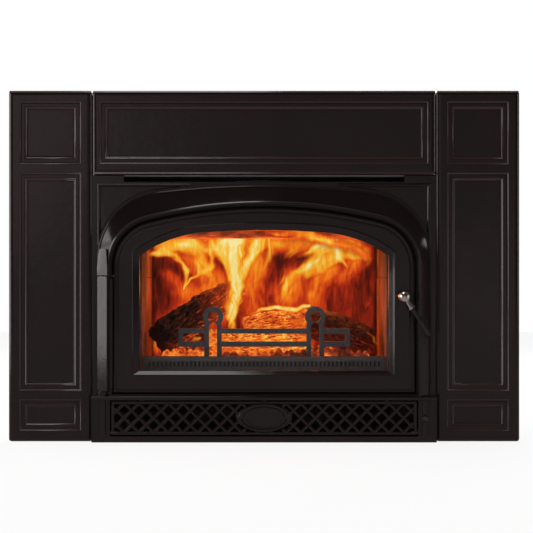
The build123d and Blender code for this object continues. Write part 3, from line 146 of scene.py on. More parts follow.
# ---------------------------------------------------------------- floor
# A white studio floor. It is nearly white to the camera, still takes a faint shadow, and is dim in
# the gloss of the castings.
def new_finish(name):
    """A new material with an empty tree and its output node."""
    finish = bpy.data.materials.new(name)
    finish.use_nodes = True
    finish.node_tree.nodes.clear()
    return finish, finish.node_tree, finish.node_tree.nodes.new("ShaderNodeOutputMaterial")


floor_finish, tree, out = new_finish("studio_floor")
plain = wire(tree, "BsdfDiffuse", Color=(0.9, 0.9, 0.9, 1))
glow = wire(tree, "Emission", Color=(1, 1, 1, 1), Strength=1)
seen = wire(tree, "LightPath")
share = wire(tree, "Math", {"operation": "MULTIPLY"}, i0=seen.outputs["Is Camera Ray"], i1=0.85)
mixed = wire(tree, "MixShader", i0=share.outputs[0], i1=plain.outputs[0], i2=glow.outputs[0])
dim_floor = wire(tree, "Emission", Color=(0.30, 0.25, 0.25, 1), Strength=1)
in_gloss = wire(tree, "MixShader", i0=seen.outputs["Is Glossy Ray"], i1=mixed.outputs[0],
                i2=dim_floor.outputs[0])
tree.links.new(in_gloss.outputs[0], out.inputs["Surface"])

floor_half, floor_z = 5, -0.001
floor_mesh = bpy.data.meshes.new("floor")
floor_corners = [(x * floor_half, y * floor_half, floor_z) for x, y in ((-1, -1), (1, -1), (1, 1), (-1, 1))]
floor_mesh.from_pydata(floor_corners, [], [(0, 1, 2, 3)])
floor_mesh.materials.append(floor_finish)
floor = placed("floor", floor_mesh)


# ---------------------------------------------------------------- base pan, jacket and blower
# Folded galvanised sheet: a pan under the firebox, the jacket round it and the partition behind
# the blower, with zinc-plated screws and bolts. The blower has two wheels on one motor.
def stops(tree, share, *colours):
    """A colour ramp from pairs of position and colour."""
    ramp = wire(tree, "ValToRGB", Fac=share)
    first, last = ramp.color_ramp.elements
    first.position, first.color = colours[0][0], (*colours[0][1], 1)
    last.position, last.color = colours[-1][0], (*colours[-1][1], 1)
    for position, colour in colours[1:-1]:
        ramp.color_ramp.elements.new(position).color = (*colour, 1)
    return ramp


def surface(tree, out, **inputs):
    """Close a finish with one principled surface."""
    shader = wire(tree, "BsdfPrincipled", **inputs)
    tree.links.new(shader.outputs[0], out.inputs["Surface"])


def metal(name, colour, rough, metallic=1.0, grain=60.0, spread=0.08, bump_depth=0.0002, stretch=(1, 1, 1)):
    """A metal with a fine grain in its tone, its gloss and its surface."""
    finish, tree, out = new_finish(name)
    place = wire(tree, "TexCoord")
    grained = wire(tree, "Mapping", Vector=place.outputs["Object"], Scale=stretch)
    speck = wire(tree, "TexNoise", Vector=grained.outputs[0], Scale=grain, Detail=6.0)
    cloud = wire(tree, "TexNoise", Vector=place.outputs["Object"], Scale=7.0, Detail=4.0)
    both = wire(tree, "Math", {"operation": "MULTIPLY_ADD"}, i0=cloud.outputs[0], i1=0.6, i2=speck.outputs[0])
    tone = stops(tree, both.outputs[0], (0.55, [c * 0.62 for c in colour]), (1.0, colour))
    gloss = wire(tree, "MapRange", i0=both.outputs[0], i1=0.5, i2=1.1, i3=rough + spread, i4=rough - spread)
    bump = wire(tree, "Bump", Strength=0.35, Distance=bump_depth, Height=speck.outputs[0])
    surface(tree, out, Base_Color=tone.outputs[0], Roughness=gloss.outputs[0], Normal=bump.outputs[0],
            Metallic=metallic)
    return finish


def dress(finish, *nodes):
    """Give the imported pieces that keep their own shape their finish."""
    for node in nodes:
        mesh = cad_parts[node].data
        mesh.materials.clear()
        mesh.materials.append(finish)


zinc = metal("zinc_plate", (0.55, 0.54, 0.52), 0.35)
black_steel = metal("black_steel", (0.040, 0.038, 0.037), 0.55, metallic=0.3)
black_plastic = metal("black_plastic", (0.02, 0.02, 0.02), 0.5, metallic=0.0)

galvanised, tree, out = new_finish("galvanised_sheet")
place = wire(tree, "TexCoord")
crystal = wire(tree, "TexVoronoi", Vector=place.outputs["Object"], Scale=160.0, Randomness=1.0)
tint = wire(tree, "SeparateColor", i0=crystal.outputs["Color"])
cloud = wire(tree, "TexNoise", Vector=place.outputs["Object"], Scale=6.0, Detail=5.0)
flake = wire(tree, "Math", {"operation": "MULTIPLY_ADD"}, i0=cloud.outputs[0], i1=0.8, i2=tint.outputs[0])
tone = stops(tree, flake.outputs[0], (0.3, (0.40, 0.41, 0.42)), (1.3 / 1.5, (0.55, 0.565, 0.575)))
gloss = wire(tree, "MapRange", i0=flake.outputs[0], i1=0.2, i2=1.4, i3=0.34, i4=0.52)
bump = wire(tree, "Bump", Strength=0.15, Distance=0.0002, Height=tint.outputs[0])
surface(tree, out, Base_Color=tone.outputs[0], Roughness=gloss.outputs[0], Normal=bump.outputs[0],
        Metallic=0.9)

# the base pan, the partition and the blower housings get a near-black finish over their galvanised sheet, as
# painted shade behind the grille
shade_dark_sheet = metal("shade_dark_sheet", (0.050, 0.048, 0.047), 0.6, metallic=0.5)
dress(galvanised, "blower_wheels")
dress(black_steel, "junction_box")
dress(shade_dark_sheet, "base_pan", "partition_plate", "blower_housings")
dress(zinc, "levelling_bolts", "blower_screws", "blower_shaft")
dress(black_steel, "blower_motor", "firebox_legs")
dress(black_plastic, "power_inlet", "fan_thermostat")


def sized_tree(name, **sizes):
    """A geometry node tree with a mesh in, a mesh out and a named size for each number."""
    tree = bpy.data.node_groups.new(name, "GeometryNodeTree")
    tree.interface.new_socket("Geometry", in_out="INPUT", socket_type="NodeSocketGeometry")
    sockets = {}
    for label, value in sizes.items():
        socket = tree.interface.new_socket(label.replace("_", " "), in_out="INPUT",
                                           socket_type="NodeSocketFloat")
        socket.default_value = value
        sockets[label] = socket.identifier
    tree.interface.new_socket("Geometry", in_out="OUTPUT", socket_type="NodeSocketGeometry")
    return tree, sockets, tree.nodes.new("NodeGroupInput"), tree.nodes.new("NodeGroupOutput")


def grown_by_nodes(mesh, tree, sockets, **sizes):
    """Run a mesh through a node tree with its named sizes, and give back the plain mesh."""
    carrier = placed("carrier", mesh)
    growth = carrier.modifiers.new("growth", "NODES")
    growth.node_group = tree
    for label, value in sizes.items():
        growth[sockets[label]] = value
    made = bpy.data.meshes.new_from_object(carrier.evaluated_get(bpy.context.evaluated_depsgraph_get()))
    bpy.data.objects.remove(carrier)
    return made


def merged_copy(node):
    """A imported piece's shape with its doubles merged."""
    shape = bmesh.new()
    shape.from_mesh(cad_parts[node].data)
    bmesh.ops.remove_doubles(shape, verts=shape.verts, dist=1e-6)
    return shape


def mesh_of(name, shape, finish):
    """Turn a shape into a mesh with one finish."""
    mesh = bpy.data.meshes.new(name)
    shape.to_mesh(mesh)
    shape.free()
    mesh.materials.append(finish)
    return mesh


# the jacket's large sheets are cross-broken to stiffen them, and the rear one is set in on a flange;
# each step is its width and how far it sinks, in metres
flange_steps = ((0.004, 0), (0.0008, 0.0036), (0.017, 0), (0.0009, -0.0026))
side_steps = ((0.062, 0),)
large_sheet, cross_break = 0.15, 0.005
folded = merged_copy("jacket")
bmesh.ops.dissolve_limit(folded, angle_limit=0.02, verts=folded.verts, edges=folded.edges)
for face in [f for f in folded.faces if f.calc_area() > large_sheet and abs(f.normal.z) < 0.5]:
    rear = abs(face.normal.y) > 0.5
    inward = Vector((0, -1, 0)) if rear else Vector((-1 if face.verts[0].co.x > 0 else 1, 0, 0))
    along = face.normal.dot(inward)
    for width, sunk in flange_steps if rear else side_steps:
        bmesh.ops.inset_individual(folded, faces=[face], thickness=width, depth=sunk * along,
                                   use_even_offset=True)
    bmesh.ops.poke(folded, faces=[face])["verts"][0].co += inward * cross_break
jacket_piece = placed("jacket_folded", mesh_of("jacket_folded", folded, galvanised))
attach(jacket_piece, "root")
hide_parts("jacket")

# hexagon-headed sheet screws hold the jacket together along its seams; each row is a place and a
# direction, in millimetres
flange_y, seam_y, side_x, roof_z = 388.4, 376, 332, 543
rows = [((x, flange_y, z), (0, 1, 0)) for z in (23.5, 527.5) for x in range(-315, 316, 105)]
rows += [((x, flange_y, z), (0, 1, 0)) for x in (-316, 316) for z in (124, 225, 326, 427)]
rows += [((side * side_x, seam_y, z), (side, 0, 0)) for side in (-1, 1) for z in (70, 180, 290, 400, 510)]
rows += [((x, seam_y, roof_z), (0, 0, 1)) for x in range(-300, 301, 120)]
spots = bpy.data.meshes.new("screw_spots")
spots.from_pydata([tuple(c / 1000 for c in spot) for spot, _ in rows], [], [])
spots.attributes.new("facing", "FLOAT_VECTOR", "POINT").data.foreach_set(
    "vector", [c for _, way in rows for c in way])
tree, sockets, start, end = sized_tree("sheet_screws", Head_radius=0.004, Head_height=0.0024)
facing = wire(tree, "GeometryNodeInputNamedAttribute", {"data_type": "FLOAT_VECTOR"}, Name="facing")
turn = wire(tree, "FunctionNodeAlignRotationToVector", {"axis": "Z"}, Vector=facing.outputs[0])
head = wire(tree, "GeometryNodeMeshCylinder", Vertices=6, Radius=start.outputs["Head radius"],
            Depth=start.outputs["Head height"])
wide = wire(tree, "Math", {"operation": "MULTIPLY"}, i0=start.outputs["Head radius"], i1=1.35)
washer = wire(tree, "GeometryNodeMeshCylinder", Vertices=20, Radius=wide.outputs[0], Depth=0.0012)
both = wire(tree, "GeometryNodeJoinGeometry", i0=head.outputs["Mesh"])
tree.links.new(washer.outputs["Mesh"], both.inputs[0])
set_on = wire(tree, "GeometryNodeInstanceOnPoints", Points=start.outputs["Geometry"],
              Instance=both.outputs[0], Rotation=turn.outputs[0])
real = wire(tree, "GeometryNodeRealizeInstances", i0=set_on.outputs[0])
coat = wire(tree, "GeometryNodeSetMaterial", i0=real.outputs[0], Material=zinc)
tree.links.new(coat.outputs[0], end.inputs["Geometry"])
screw_mesh = grown_by_nodes(spots, tree, sockets, Head_radius=0.0042, Head_height=0.0048)
screws = placed("jacket_sheet_screws", screw_mesh)
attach(screws, "root")


# ---------------------------------------------------------------- firebox, flue collar and baffle
# A welded steel box lined with firebrick. Above the fire, four stainless air tubes on two rails
# carry the baffle boards, and a folded channel washes the glass with air.
iron = metal("bare_cast_iron", (0.085, 0.090, 0.098), 0.62, metallic=0.25, grain=260.0, spread=0.06,
             bump_depth=0.0008)
stainless = metal("heat_tinted_stainless", (0.42, 0.33, 0.27), 0.38, stretch=(0.05, 1, 1))
# the air tubes carry a painted dull red glow of firelight, strongest on their undersides over the flames
firelit_steel, tree, out = new_finish("firelit_stainless")
place = wire(tree, "TexCoord")
scale = wire(tree, "Mapping", Vector=place.outputs["Object"], Scale=(1.0, 2.0, 3.0))
scorch = wire(tree, "TexNoise", Vector=scale.outputs[0], Scale=22.0, Detail=6.0, Roughness=0.6)
body = stops(tree, scorch.outputs[0], (0.40, (0.045, 0.020, 0.014)), (0.62, (0.26, 0.10, 0.06)))
height = wire(tree, "SeparateXYZ", i0=place.outputs["Object"])
low = wire(tree, "MapRange", i0=height.outputs["Z"], i1=0.416, i2=0.436, i3=1.25, i4=0.45)
share = wire(tree, "MapRange", i0=scorch.outputs[0], i1=0.38, i2=0.62, i3=0.15, i4=1.0)
both = wire(tree, "Math", {"operation": "MULTIPLY"}, i0=low.outputs[0], i1=share.outputs[0])
# the painted firelight is strongest low on the tubes, where they face the flames
painted_firelight_red = stops(tree, both.outputs[0], (0.0, (0.035, 0.003, 0.002)), (1.0, (0.78, 0.090, 0.012)))
surface(tree, out, Base_Color=body.outputs[0], Metallic=0.6, Roughness=0.5,
        Emission_Color=painted_firelight_red.outputs[0], Emission_Strength=1.0)
board = metal("vermiculite_board", (0.60, 0.52, 0.42), 0.85, metallic=0.0, grain=300.0, bump_depth=0.001)
brick, tree, out = new_finish("sooty_firebrick")
place = wire(tree, "TexCoord")
pores = wire(tree, "TexNoise", Vector=place.outputs["Object"], Scale=260.0, Detail=6.0)
soot = wire(tree, "TexNoise", Vector=place.outputs["Object"], Scale=9.0, Detail=6.0, Roughness=0.6)
height = wire(tree, "SeparateXYZ", i0=place.outputs["Object"])
rise = wire(tree, "MapRange", i0=height.outputs["Z"], i1=0.12, i2=0.42, i3=0.18, i4=-0.12)
both = wire(tree, "Math", {"operation": "ADD"}, i0=soot.outputs[0], i1=rise.outputs[0])
body = stops(tree, both.outputs[0], (0.36, (0.030, 0.020, 0.016)), (0.74, (0.27, 0.115, 0.07)))
grit = wire(tree, "MapRange", i0=pores.outputs[0], i1=0.35, i2=0.65, i3=0.75, i4=1.1)
tone = wire(tree, "VectorMath", {"operation": "SCALE"}, i0=body.outputs[0], i3=grit.outputs[0])
bump = wire(tree, "Bump", Strength=0.5, Distance=0.0015, Height=pores.outputs[0])
surface(tree, out, Base_Color=tone.outputs[0], Roughness=0.9, Normal=bump.outputs[0])

# the air bar's face is grey from the heat, and the deep slots get a painted shade
grey_iron = metal("hot_grey_iron", (0.118, 0.108, 0.108), 0.50, metallic=0.35, grain=200.0, spread=0.06)
tree = grey_iron.node_tree
shader = next(node for node in tree.nodes if node.type == "BSDF_PRINCIPLED")
place = wire(tree, "SeparateXYZ", i0=wire(tree, "TexCoord").outputs["Object"])
in_slot = wire(tree, "MapRange", i0=place.outputs["Y"], i1=0.0118, i2=0.0135, i3=0.0, i4=1.0)
face_tone = shader.inputs["Base Color"].links[0].from_socket
slot_shade = wire(tree, "Mix", {"data_type": "RGBA"}, i0=in_slot.outputs[0], i6=face_tone,
             i7=(0.034, 0.029, 0.029, 1))
tree.links.new(slot_shade.outputs[2], shader.inputs["Base Color"])

dress(black_steel, "firebox_shell", "air_intake_box")
dress(iron, "flue_collar")
dress(grey_iron, "hearth_air_bar")
dress(zinc, "collar_bolts", "air_control_rod")
dress(stainless, "tube_rails", "airwash_channel")
dress(firelit_steel, "air_tubes")
dress(brick, "side_bricks_left", "side_bricks_right", "rear_bricks", "floor_bricks")
dress(board, "baffle_boards")
dress(galvanised, "air_shutter")


# ---------------------------------------------------------------- andiron
# The andiron is one black iron casting: two ring-topped posts and three rails, every edge rounded
# off by the sand mould. It stands loose on the hearth, behind the air bar.
fuller, edge_round, hearth_z = 0.0008, 0.0024, 0.1341
cast_andiron = merged_copy("andiron")
bmesh.ops.dissolve_limit(cast_andiron, angle_limit=0.02, verts=cast_andiron.verts, edges=cast_andiron.edges)
cast_andiron.normal_update()
for vert, push in [(vert, vert.normal * vert.calc_shell_factor()) for vert in cast_andiron.verts]:
    vert.co += fuller * push
    vert.co.z = max(vert.co.z, hearth_z)
sharp = [edge for edge in cast_andiron.edges if len(edge.link_faces) == 2 and edge.calc_face_angle() > 0.6]
bmesh.ops.bevel(cast_andiron, geom=sharp, offset=edge_round, segments=3, profile=0.5, affect="EDGES",
                clamp_overlap=True)
andiron_mesh = mesh_of("andiron_cast", cast_andiron, iron)
andiron_mesh.shade_smooth()
andiron_piece = placed("andiron_cast", andiron_mesh)
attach(andiron_piece, "root")
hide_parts("andiron")


# ---------------------------------------------------------------- logs
# Split logs, charred black and cracked by the fire, with embers glowing in the cracks: three on the
# bed, and a half of the middle one fallen behind it. Each has flats, chips, furrows and a rough end.
charred, tree, out = new_finish("charred_log")
place = wire(tree, "TexCoord")
along = wire(tree, "Attribute", {"attribute_name": "grain"})
stretched = wire(tree, "Mapping", Vector=along.outputs["Vector"], Scale=(1.8, 7, 7))
ridge = wire(tree, "TexNoise", Vector=stretched.outputs[0], Scale=1.6, Detail=5.0, Roughness=0.56)
crack = wire(tree, "TexVoronoi", {"feature": "DISTANCE_TO_EDGE"}, Vector=stretched.outputs[0], Scale=1.1)
tone = stops(tree, ridge.outputs[0], (0.47, (0.005, 0.003, 0.003)), (0.76, (0.130, 0.050, 0.024)))
heat = wire(tree, "Attribute", {"attribute_name": "ember_heat"})
thin = wire(tree, "MapRange", i0=crack.outputs["Distance"], i1=0.0, i2=0.09, i3=1.0, i4=0.0)
lump = wire(tree, "TexNoise", Vector=place.outputs["Object"], Scale=26.0, Detail=4.0)
patch = wire(tree, "MapRange", i0=lump.outputs[0], i1=0.42, i2=0.62, i3=0.0, i4=1.0)
burning = wire(tree, "Math", {"operation": "MULTIPLY"}, i0=thin.outputs[0], i1=patch.outputs[0])
char = wire(tree, "MapRange", i0=ridge.outputs[0], i1=0.38, i2=0.66, i3=0.82, i4=0.16)
glowing = wire(tree, "Math", {"operation": "MULTIPLY_ADD"}, i0=burning.outputs[0], i1=0.7, i2=char.outputs[0])
fierce = wire(tree, "Math", {"operation": "MULTIPLY"}, i0=glowing.outputs[0], i1=heat.outputs["Fac"])
colour = stops(tree, fierce.outputs[0], (0.0, (0, 0, 0)), (0.25, (0.20, 0.012, 0.003)),
               (0.5, (0.85, 0.10, 0.01)), (0.8, (1.0, 0.34, 0.03)), (1.0, (1.0, 0.62, 0.10)))
bump = wire(tree, "Bump", Strength=0.8, Distance=0.004, Height=ridge.outputs[0])
surface(tree, out, Base_Color=tone.outputs[0], Roughness=0.85, Normal=bump.outputs[0],
        Emission_Color=colour.outputs[0], Emission_Strength=1.0)


def smooth_step(low, high, value):
    """A soft step from 0 at low to 1 at high."""
    share = max(0.0, min(1.0, (value - low) / (high - low)))
    return share * share * (3 - 2 * share)


def log(name, node, start, end, radii, seed, heat_at):
    """A charred log from end to end, in millimetres, with its heat and grain as attributes."""
    start, end = Vector(start), Vector(end)
    way = (end - start).normalized()
    side = way.cross(Vector((0, 0, 1))).normalized()
    rise = side.cross(way)
    length, around = 120, 108  # the net along the log and round it
    shape = bmesh.new()
    rings, grains = [], {}
    for i in range(length + 1):
        share = i / length
        radius = radii[0] + (radii[1] - radii[0]) * min(1, share * 2) if share < 0.5 else \
            radii[1] + (radii[2] - radii[1]) * (share * 2 - 1)
        ring = []
        for k in range(around):
            angle = 2 * pi * k / around
            # a split log is flat on some sides, so its section is a rounded polygon
            flat = 0.90 + 0.10 * cos(4 * angle + seed) + 0.05 * cos(3 * angle + 2 * seed)
            bark = noise.fractal(Vector((share * 3.2 + seed, cos(angle) * 5, sin(angle) * 5)), 0.8, 2.0, 5)
            furrow = abs(noise.noise(Vector((share * 4.0 + seed * 3, cos(angle) * 4.5, sin(angle) * 4.5))))
            chip = noise.cell(Vector((share * 15 + 2.5 * bark, 5.2 * angle / pi + seed, seed)))
            scale = radius * (flat + 0.07 * bark - 0.16 * (1 - min(1, furrow * 4)) + 0.10 * (chip - 0.5))
            round_end = min(1, (min(share, 1 - share) * length + 0.6) / 2.2) ** 0.5
            ragged = 5 * noise.noise(Vector((cos(angle) * 2 + seed, sin(angle) * 2, 4.0)))
            pushed = ragged * (1 - smooth_step(0, 0.12, share)) - ragged * smooth_step(0.88, 1, share)
            point = start + way * ((end - start).length * share + pushed)
            point += (side * cos(angle) + rise * sin(angle)) * (scale * round_end)
            vert = shape.verts.new(point)
            grains[vert] = (share * (end - start).length / 40, cos(angle), sin(angle))
            ring.append(vert)
        rings.append(ring)
    for ring, following in zip(rings, rings[1:]):
        for k in range(around):
            shape.faces.new((ring[k], following[k], following[(k + 1) % around], ring[(k + 1) % around]))
    for ring, share in ((rings[0], 0), (rings[-1], 1)):
        centre = sum((vert.co for vert in ring), Vector()) / around
        inner = ring
        for step in (0.66, 0.33):
            made = []
            for k, vert in enumerate(ring):
                dent = 1.8 * noise.noise(vert.co * 0.09 + Vector((step * 9, seed, 0)))
                fresh = shape.verts.new(centre + (vert.co - centre) * step + way * dent)
                grains[fresh] = (share * 5, cos(2 * pi * k / around) * step, sin(2 * pi * k / around) * step)
                made.append(fresh)
            for k in range(around):
                shape.faces.new((inner[k], inner[(k + 1) % around], made[(k + 1) % around], made[k]))
            inner = made
        tip = shape.verts.new(centre)
        grains[tip] = (share * 5, 0, 0)
        for k in range(around):
            shape.faces.new((inner[k], inner[(k + 1) % around], tip))
    bmesh.ops.recalc_face_normals(shape, faces=shape.faces)
    shape.verts.index_update()
    ordered = sorted(grains, key=lambda vert: vert.index)
    grain = [grains[vert] for vert in ordered]
    heats = [heat_at(vert.co, vert.normal) for vert in ordered]
    bmesh.ops.scale(shape, verts=shape.verts, vec=(0.001, 0.001, 0.001))
    mesh = mesh_of(name, shape, charred)
    mesh.attributes.new("grain", "FLOAT_VECTOR", "POINT").data.foreach_set(
        "vector", [value for triple in grain for value in triple])
    mesh.attributes.new("ember_heat", "FLOAT", "POINT").data.foreach_set("value", heats)
    mesh.shade_smooth()
    piece = placed(name, mesh)
    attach(piece, "root")
    if node:
        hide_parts(node)


log("log_left_charred", "log_left", (-222, 98, 204), (-64, 236, 302), (39, 42, 35), 1.3,
    lambda point, normal: 0.75 * smooth_step(-0.1, -0.9, normal.z) * smooth_step(-215, -165, point.x) +
    0.5 * smooth_step(-150, -60, point.x))
log("log_right_charred", "log_right", (84, 222, 243), (222, 112, 192), (34, 38, 34), 4.1,
    lambda point, normal: 0.04 + 0.32 * smooth_step(-0.1, -0.9, normal.z))
log("log_centre_burning", "log_centre", (-120, 132, 190), (92, 142, 194), (30, 34, 29), 7.7,
    lambda point, normal: 0.8 + 0.2 * smooth_step(150, 120, point.y))
log("log_split_burning", None, (-44, 178, 222), (96, 182, 238), (30, 36, 30), 2.9,
    lambda point, normal: 0.72 + 0.3 * smooth_step(0.1, 0.9, normal.z))


# ---------------------------------------------------------------- ember bed
# A low heap of wood coals, orange where they breathe and ash-grey on top. It lies loose on the floor
# bricks, raked flat behind the andiron.
embers, tree, out = new_finish("glowing_embers")
place = wire(tree, "TexCoord")
cell = wire(tree, "TexVoronoi", Vector=place.outputs["Object"], Scale=95.0)
tint = wire(tree, "SeparateColor", i0=cell.outputs["Color"])
patch = wire(tree, "TexNoise", Vector=place.outputs["Object"], Scale=16.0, Detail=5.0)
near_edge = wire(tree, "MapRange", i0=cell.outputs["Distance"], i1=0.1, i2=0.75, i3=0.25, i4=0.9)
mixed = wire(tree, "Math", {"operation": "MULTIPLY_ADD"}, i0=tint.outputs[0], i1=0.35,
             i2=near_edge.outputs[0])
fierce = wire(tree, "Math", {"operation": "MULTIPLY_ADD"}, i0=patch.outputs[0], i1=1.5, i2=-0.46)
lit = wire(tree, "Math", {"operation": "MULTIPLY"}, i0=mixed.outputs[0], i1=fierce.outputs[0])
colour = stops(tree, lit.outputs[0], (0.0, (0.01, 0.002, 0.001)), (0.18, (0.12, 0.010, 0.003)),
               (0.32, (0.66, 0.075, 0.010)), (0.50, (1.0, 0.26, 0.02)), (1.0, (1.0, 0.62, 0.10)))
ash = stops(tree, tint.outputs[0], (0.0, (0.015, 0.010, 0.009)), (1.0, (0.12, 0.085, 0.075)))
bump = wire(tree, "Bump", Strength=0.7, Distance=0.003, Height=patch.outputs[0])
surface(tree, out, Base_Color=ash.outputs[0], Roughness=0.9, Normal=bump.outputs[0],
        Emission_Color=colour.outputs[0], Emission_Strength=1.0)

bed = bmesh.new()
columns, rows = 150, 76
half_x, low_y, high_y, foot_z = 0.238, 0.058, 0.302, 0.1342
heap, coal, crumb = 0.032, 0.016, 0.0040
grid = []
for i in range(columns + 1):
    line = []
    for j in range(rows + 1):
        across, deep = 2 * i / columns - 1, 2 * j / rows - 1
        # the outline is a rounded rectangle, squeezed from a square
        x = half_x * across * (1 - 0.035 * deep * deep)
        y = (low_y + high_y) / 2 + (high_y - low_y) / 2 * deep * (1 - 0.05 * across ** 4)
        fall = min(1, (1 - max(abs(across) ** 3, abs(deep))) * 4.2)
        chunk = noise.voronoi(Vector((x * 62, y * 62, 0.5)))[0]
        lump = heap * fall ** 0.6 + coal * fall * max(0, 0.75 - chunk[0]) * 1.6 + \
            crumb * fall * noise.noise(Vector((x * 190, y * 190, 3)))
        line.append(bed.verts.new((x, y, foot_z + max(0, lump))))
    grid.append(line)
for i in range(columns):
    for j in range(rows):
        bed.faces.new((grid[i][j], grid[i + 1][j], grid[i + 1][j + 1], grid[i][j + 1]))
border = [line[0] for line in grid] + grid[-1][1:] + [line[-1] for line in reversed(grid[:-1])] + \
    list(reversed(grid[0][1:-1]))
skirt = [bed.verts.new((vert.co.x, vert.co.y, foot_z - 0.0002)) for vert in border]
for k in range(len(border)):
    following = (k + 1) % len(border)
    bed.faces.new((border[k], border[following], skirt[following], skirt[k]))
bed.faces.new(skirt)
bmesh.ops.recalc_face_normals(bed, faces=bed.faces)
bed_mesh = mesh_of("ember_bed_glowing", bed, embers)
bed_mesh.shade_smooth()
ember_piece = placed("ember_bed_glowing", bed_mesh)
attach(ember_piece, "root")
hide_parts("ember_bed")


# ---------------------------------------------------------------- flames
# The fire is four open sheets of hot gas, one behind the other. Each is a fine net whose tongues
# follow drawn strokes, torn where the gas is too thin to glow, and brightest along their middles.
gas, tree, out = new_finish("burning_gas")
glow = wire(tree, "Attribute", {"attribute_name": "gas_glow"})
veil = wire(tree, "Attribute", {"attribute_name": "gas_veil"})
place = wire(tree, "TexCoord")
drawn_out = wire(tree, "Mapping", Vector=place.outputs["Object"], Scale=(1.0, 0.3, 0.22))
lick = wire(tree, "TexNoise", Vector=drawn_out.outputs[0], Scale=95.0, Detail=4.0, Distortion=1.2)
streak = wire(tree, "MapRange", i0=lick.outputs[0], i1=0.3, i2=0.7, i3=-0.09, i4=0.09)
both = wire(tree, "Math", {"operation": "ADD"}, i0=glow.outputs["Fac"], i1=streak.outputs[0])
colour = stops(tree, both.outputs[0], (0.06, (0.050, 0.006, 0.003)), (0.22, (0.30, 0.018, 0.006)),
               (0.36, (0.66, 0.052, 0.008)), (0.52, (0.94, 0.165, 0.010)), (0.68, (1.0, 0.36, 0.015)),
               (0.84, (1.0, 0.62, 0.07)), (1.0, (1.0, 0.88, 0.36)))
surface(tree, out, Base_Color=(0, 0, 0, 1), Roughness=1.0, Specular_IOR_Level=0.0,
        Emission_Color=colour.outputs[0], Emission_Strength=1.0, Alpha=veil.outputs["Fac"])

# each stroke is its glow and its points: x, z and half width, in millimetres
rear_strokes = [
    (.50, [(-252, 392, 12), (-203, 406, 14), (-126, 409, 15), (-49, 409, 15), (43, 406, 15), (130, 406, 15),
           (193, 399, 12)]),
    (.42, [(-168, 374, 21), (-133, 360, 25), (-119, 339, 18)]),
    (.36, [(-243, 335, 11), (-241, 297, 11), (-242, 255, 12), (-242, 220, 14), (-235, 192, 18)]),
    (.36, [(-193, 335, 11), (-168, 304, 21), (-140, 297, 25), (-91, 318, 21)]),
    (.34, [(-193, 255, 14), (-157, 297, 21), (-108, 311, 21)]),
    (.40, [(-91, 227, 21), (-91, 283, 21), (-98, 335, 21)]),
    (.46, [(-21, 255, 25), (-21, 304, 25), (-21, 360, 28)]),
    (.44, [(28, 248, 28), (43, 300, 25), (64, 335, 21)]),
    (.44, [(92, 255, 25), (99, 300, 21), (123, 353, 21)]),
    (.46, [(148, 346, 21), (179, 364, 21), (207, 385, 14)]),
    (.13, [(141, 255, 39), (158, 297, 39), (158, 332, 32)]),
    (.10, [(211, 227, 21), (218, 283, 21), (225, 335, 18)]),
    (.44, [(-77, 192, 18), (-28, 206, 21), (25, 209, 21), (78, 209, 21)]),
    (.38, [(-168, 199, 18), (-203, 206, 21), (-235, 199, 14)]),
    (.16, [(130, 199, 21), (183, 199, 18)]),
]
mid_strokes = [
    (.50, [(-245, 390, 12), (-189, 399, 15), (-126, 395, 18), (-91, 392, 18)]),
    (.44, [(-186, 364, 8), (-154, 349, 12), (-133, 346, 14)]),
    (.74, [(-250, 378, 4), (-231, 389, 6), (-207, 393, 7), (-182, 385, 6), (-165, 367, 6), (-157, 346, 6),
           (-157, 321, 5), (-162, 307, 1)]),
    (.68, [(-221, 403, 7), (-182, 406, 10), (-140, 403, 12), (-108, 397, 9), (-102, 381, 6), (-110, 362, 6),
           (-126, 342, 5), (-146, 328, 4), (-160, 309, 1)]),
    (.60, [(-157, 376, 11), (-136, 364, 11), (-129, 347, 7)]),
    (.60, [(-59, 227, 21), (-63, 286, 22), (-59, 346, 32), (-56, 395, 39)]),
    (.90, [(-61, 220, 8), (-63, 255, 10), (-59, 300, 13), (-63, 342, 16), (-70, 378, 20), (-63, 412, 29)]),
    (.78, [(-55, 304, 9), (-42, 342, 12), (-26, 376, 15), (-13, 412, 19)]),
    (.64, [(-66, 356, 11), (-81, 383, 12), (-98, 399, 12), (-106, 412, 10)]),
    (.52, [(-7, 297, 11), (4, 346, 20), (11, 399, 21)]),
    (.50, [(28, 283, 11), (53, 328, 20), (92, 360, 21), (134, 399, 28)]),
    (.70, [(29, 281, 4), (43, 309, 8), (64, 337, 10), (90, 356, 11), (113, 373, 13), (131, 395, 15),
           (141, 416, 17)]),
    (.80, [(68, 375, 6), (92, 387, 12), (113, 398, 14), (127, 406, 12)]),
    (.76, [(170, 334, 2), (162, 356, 6), (153, 381, 8), (150, 406, 10), (148, 419, 10)]),
    (.50, [(187, 332, 5), (208, 359, 11), (217, 379, 9), (214, 392, 6)]),
    (.50, [(64, 374, 14), (44, 399, 15), (33, 412, 15)]),
    (.54, [(183, 356, 12), (186, 385, 15), (176, 402, 15)]),
    (.38, [(-184, 251, 4), (-188, 288, 6), (-193, 323, 6), (-198, 356, 5), (-202, 370, 3)]),
    (.86, [(-31, 256, 3), (-7, 268, 5), (19, 273, 6), (44, 269, 7), (71, 272, 6), (96, 280, 3)]),
    (.50, [(28, 255, 11), (64, 244, 14), (92, 255, 11)]),
    (.42, [(-49, 206, 12), (0, 206, 12), (64, 206, 12)]),
    # broad soft gas between the brighter tongues
    (.72, [(-158, 398, 15), (-132, 374, 19), (-116, 344, 11)]),
    (.66, [(-214, 388, 9), (-176, 402, 12), (-120, 404, 14), (-70, 408, 13)]),
    (.70, [(74, 318, 11), (112, 358, 20), (158, 390, 22), (206, 384, 14)]),
    (.62, [(30, 350, 10), (46, 384, 15), (70, 408, 14)]),
]
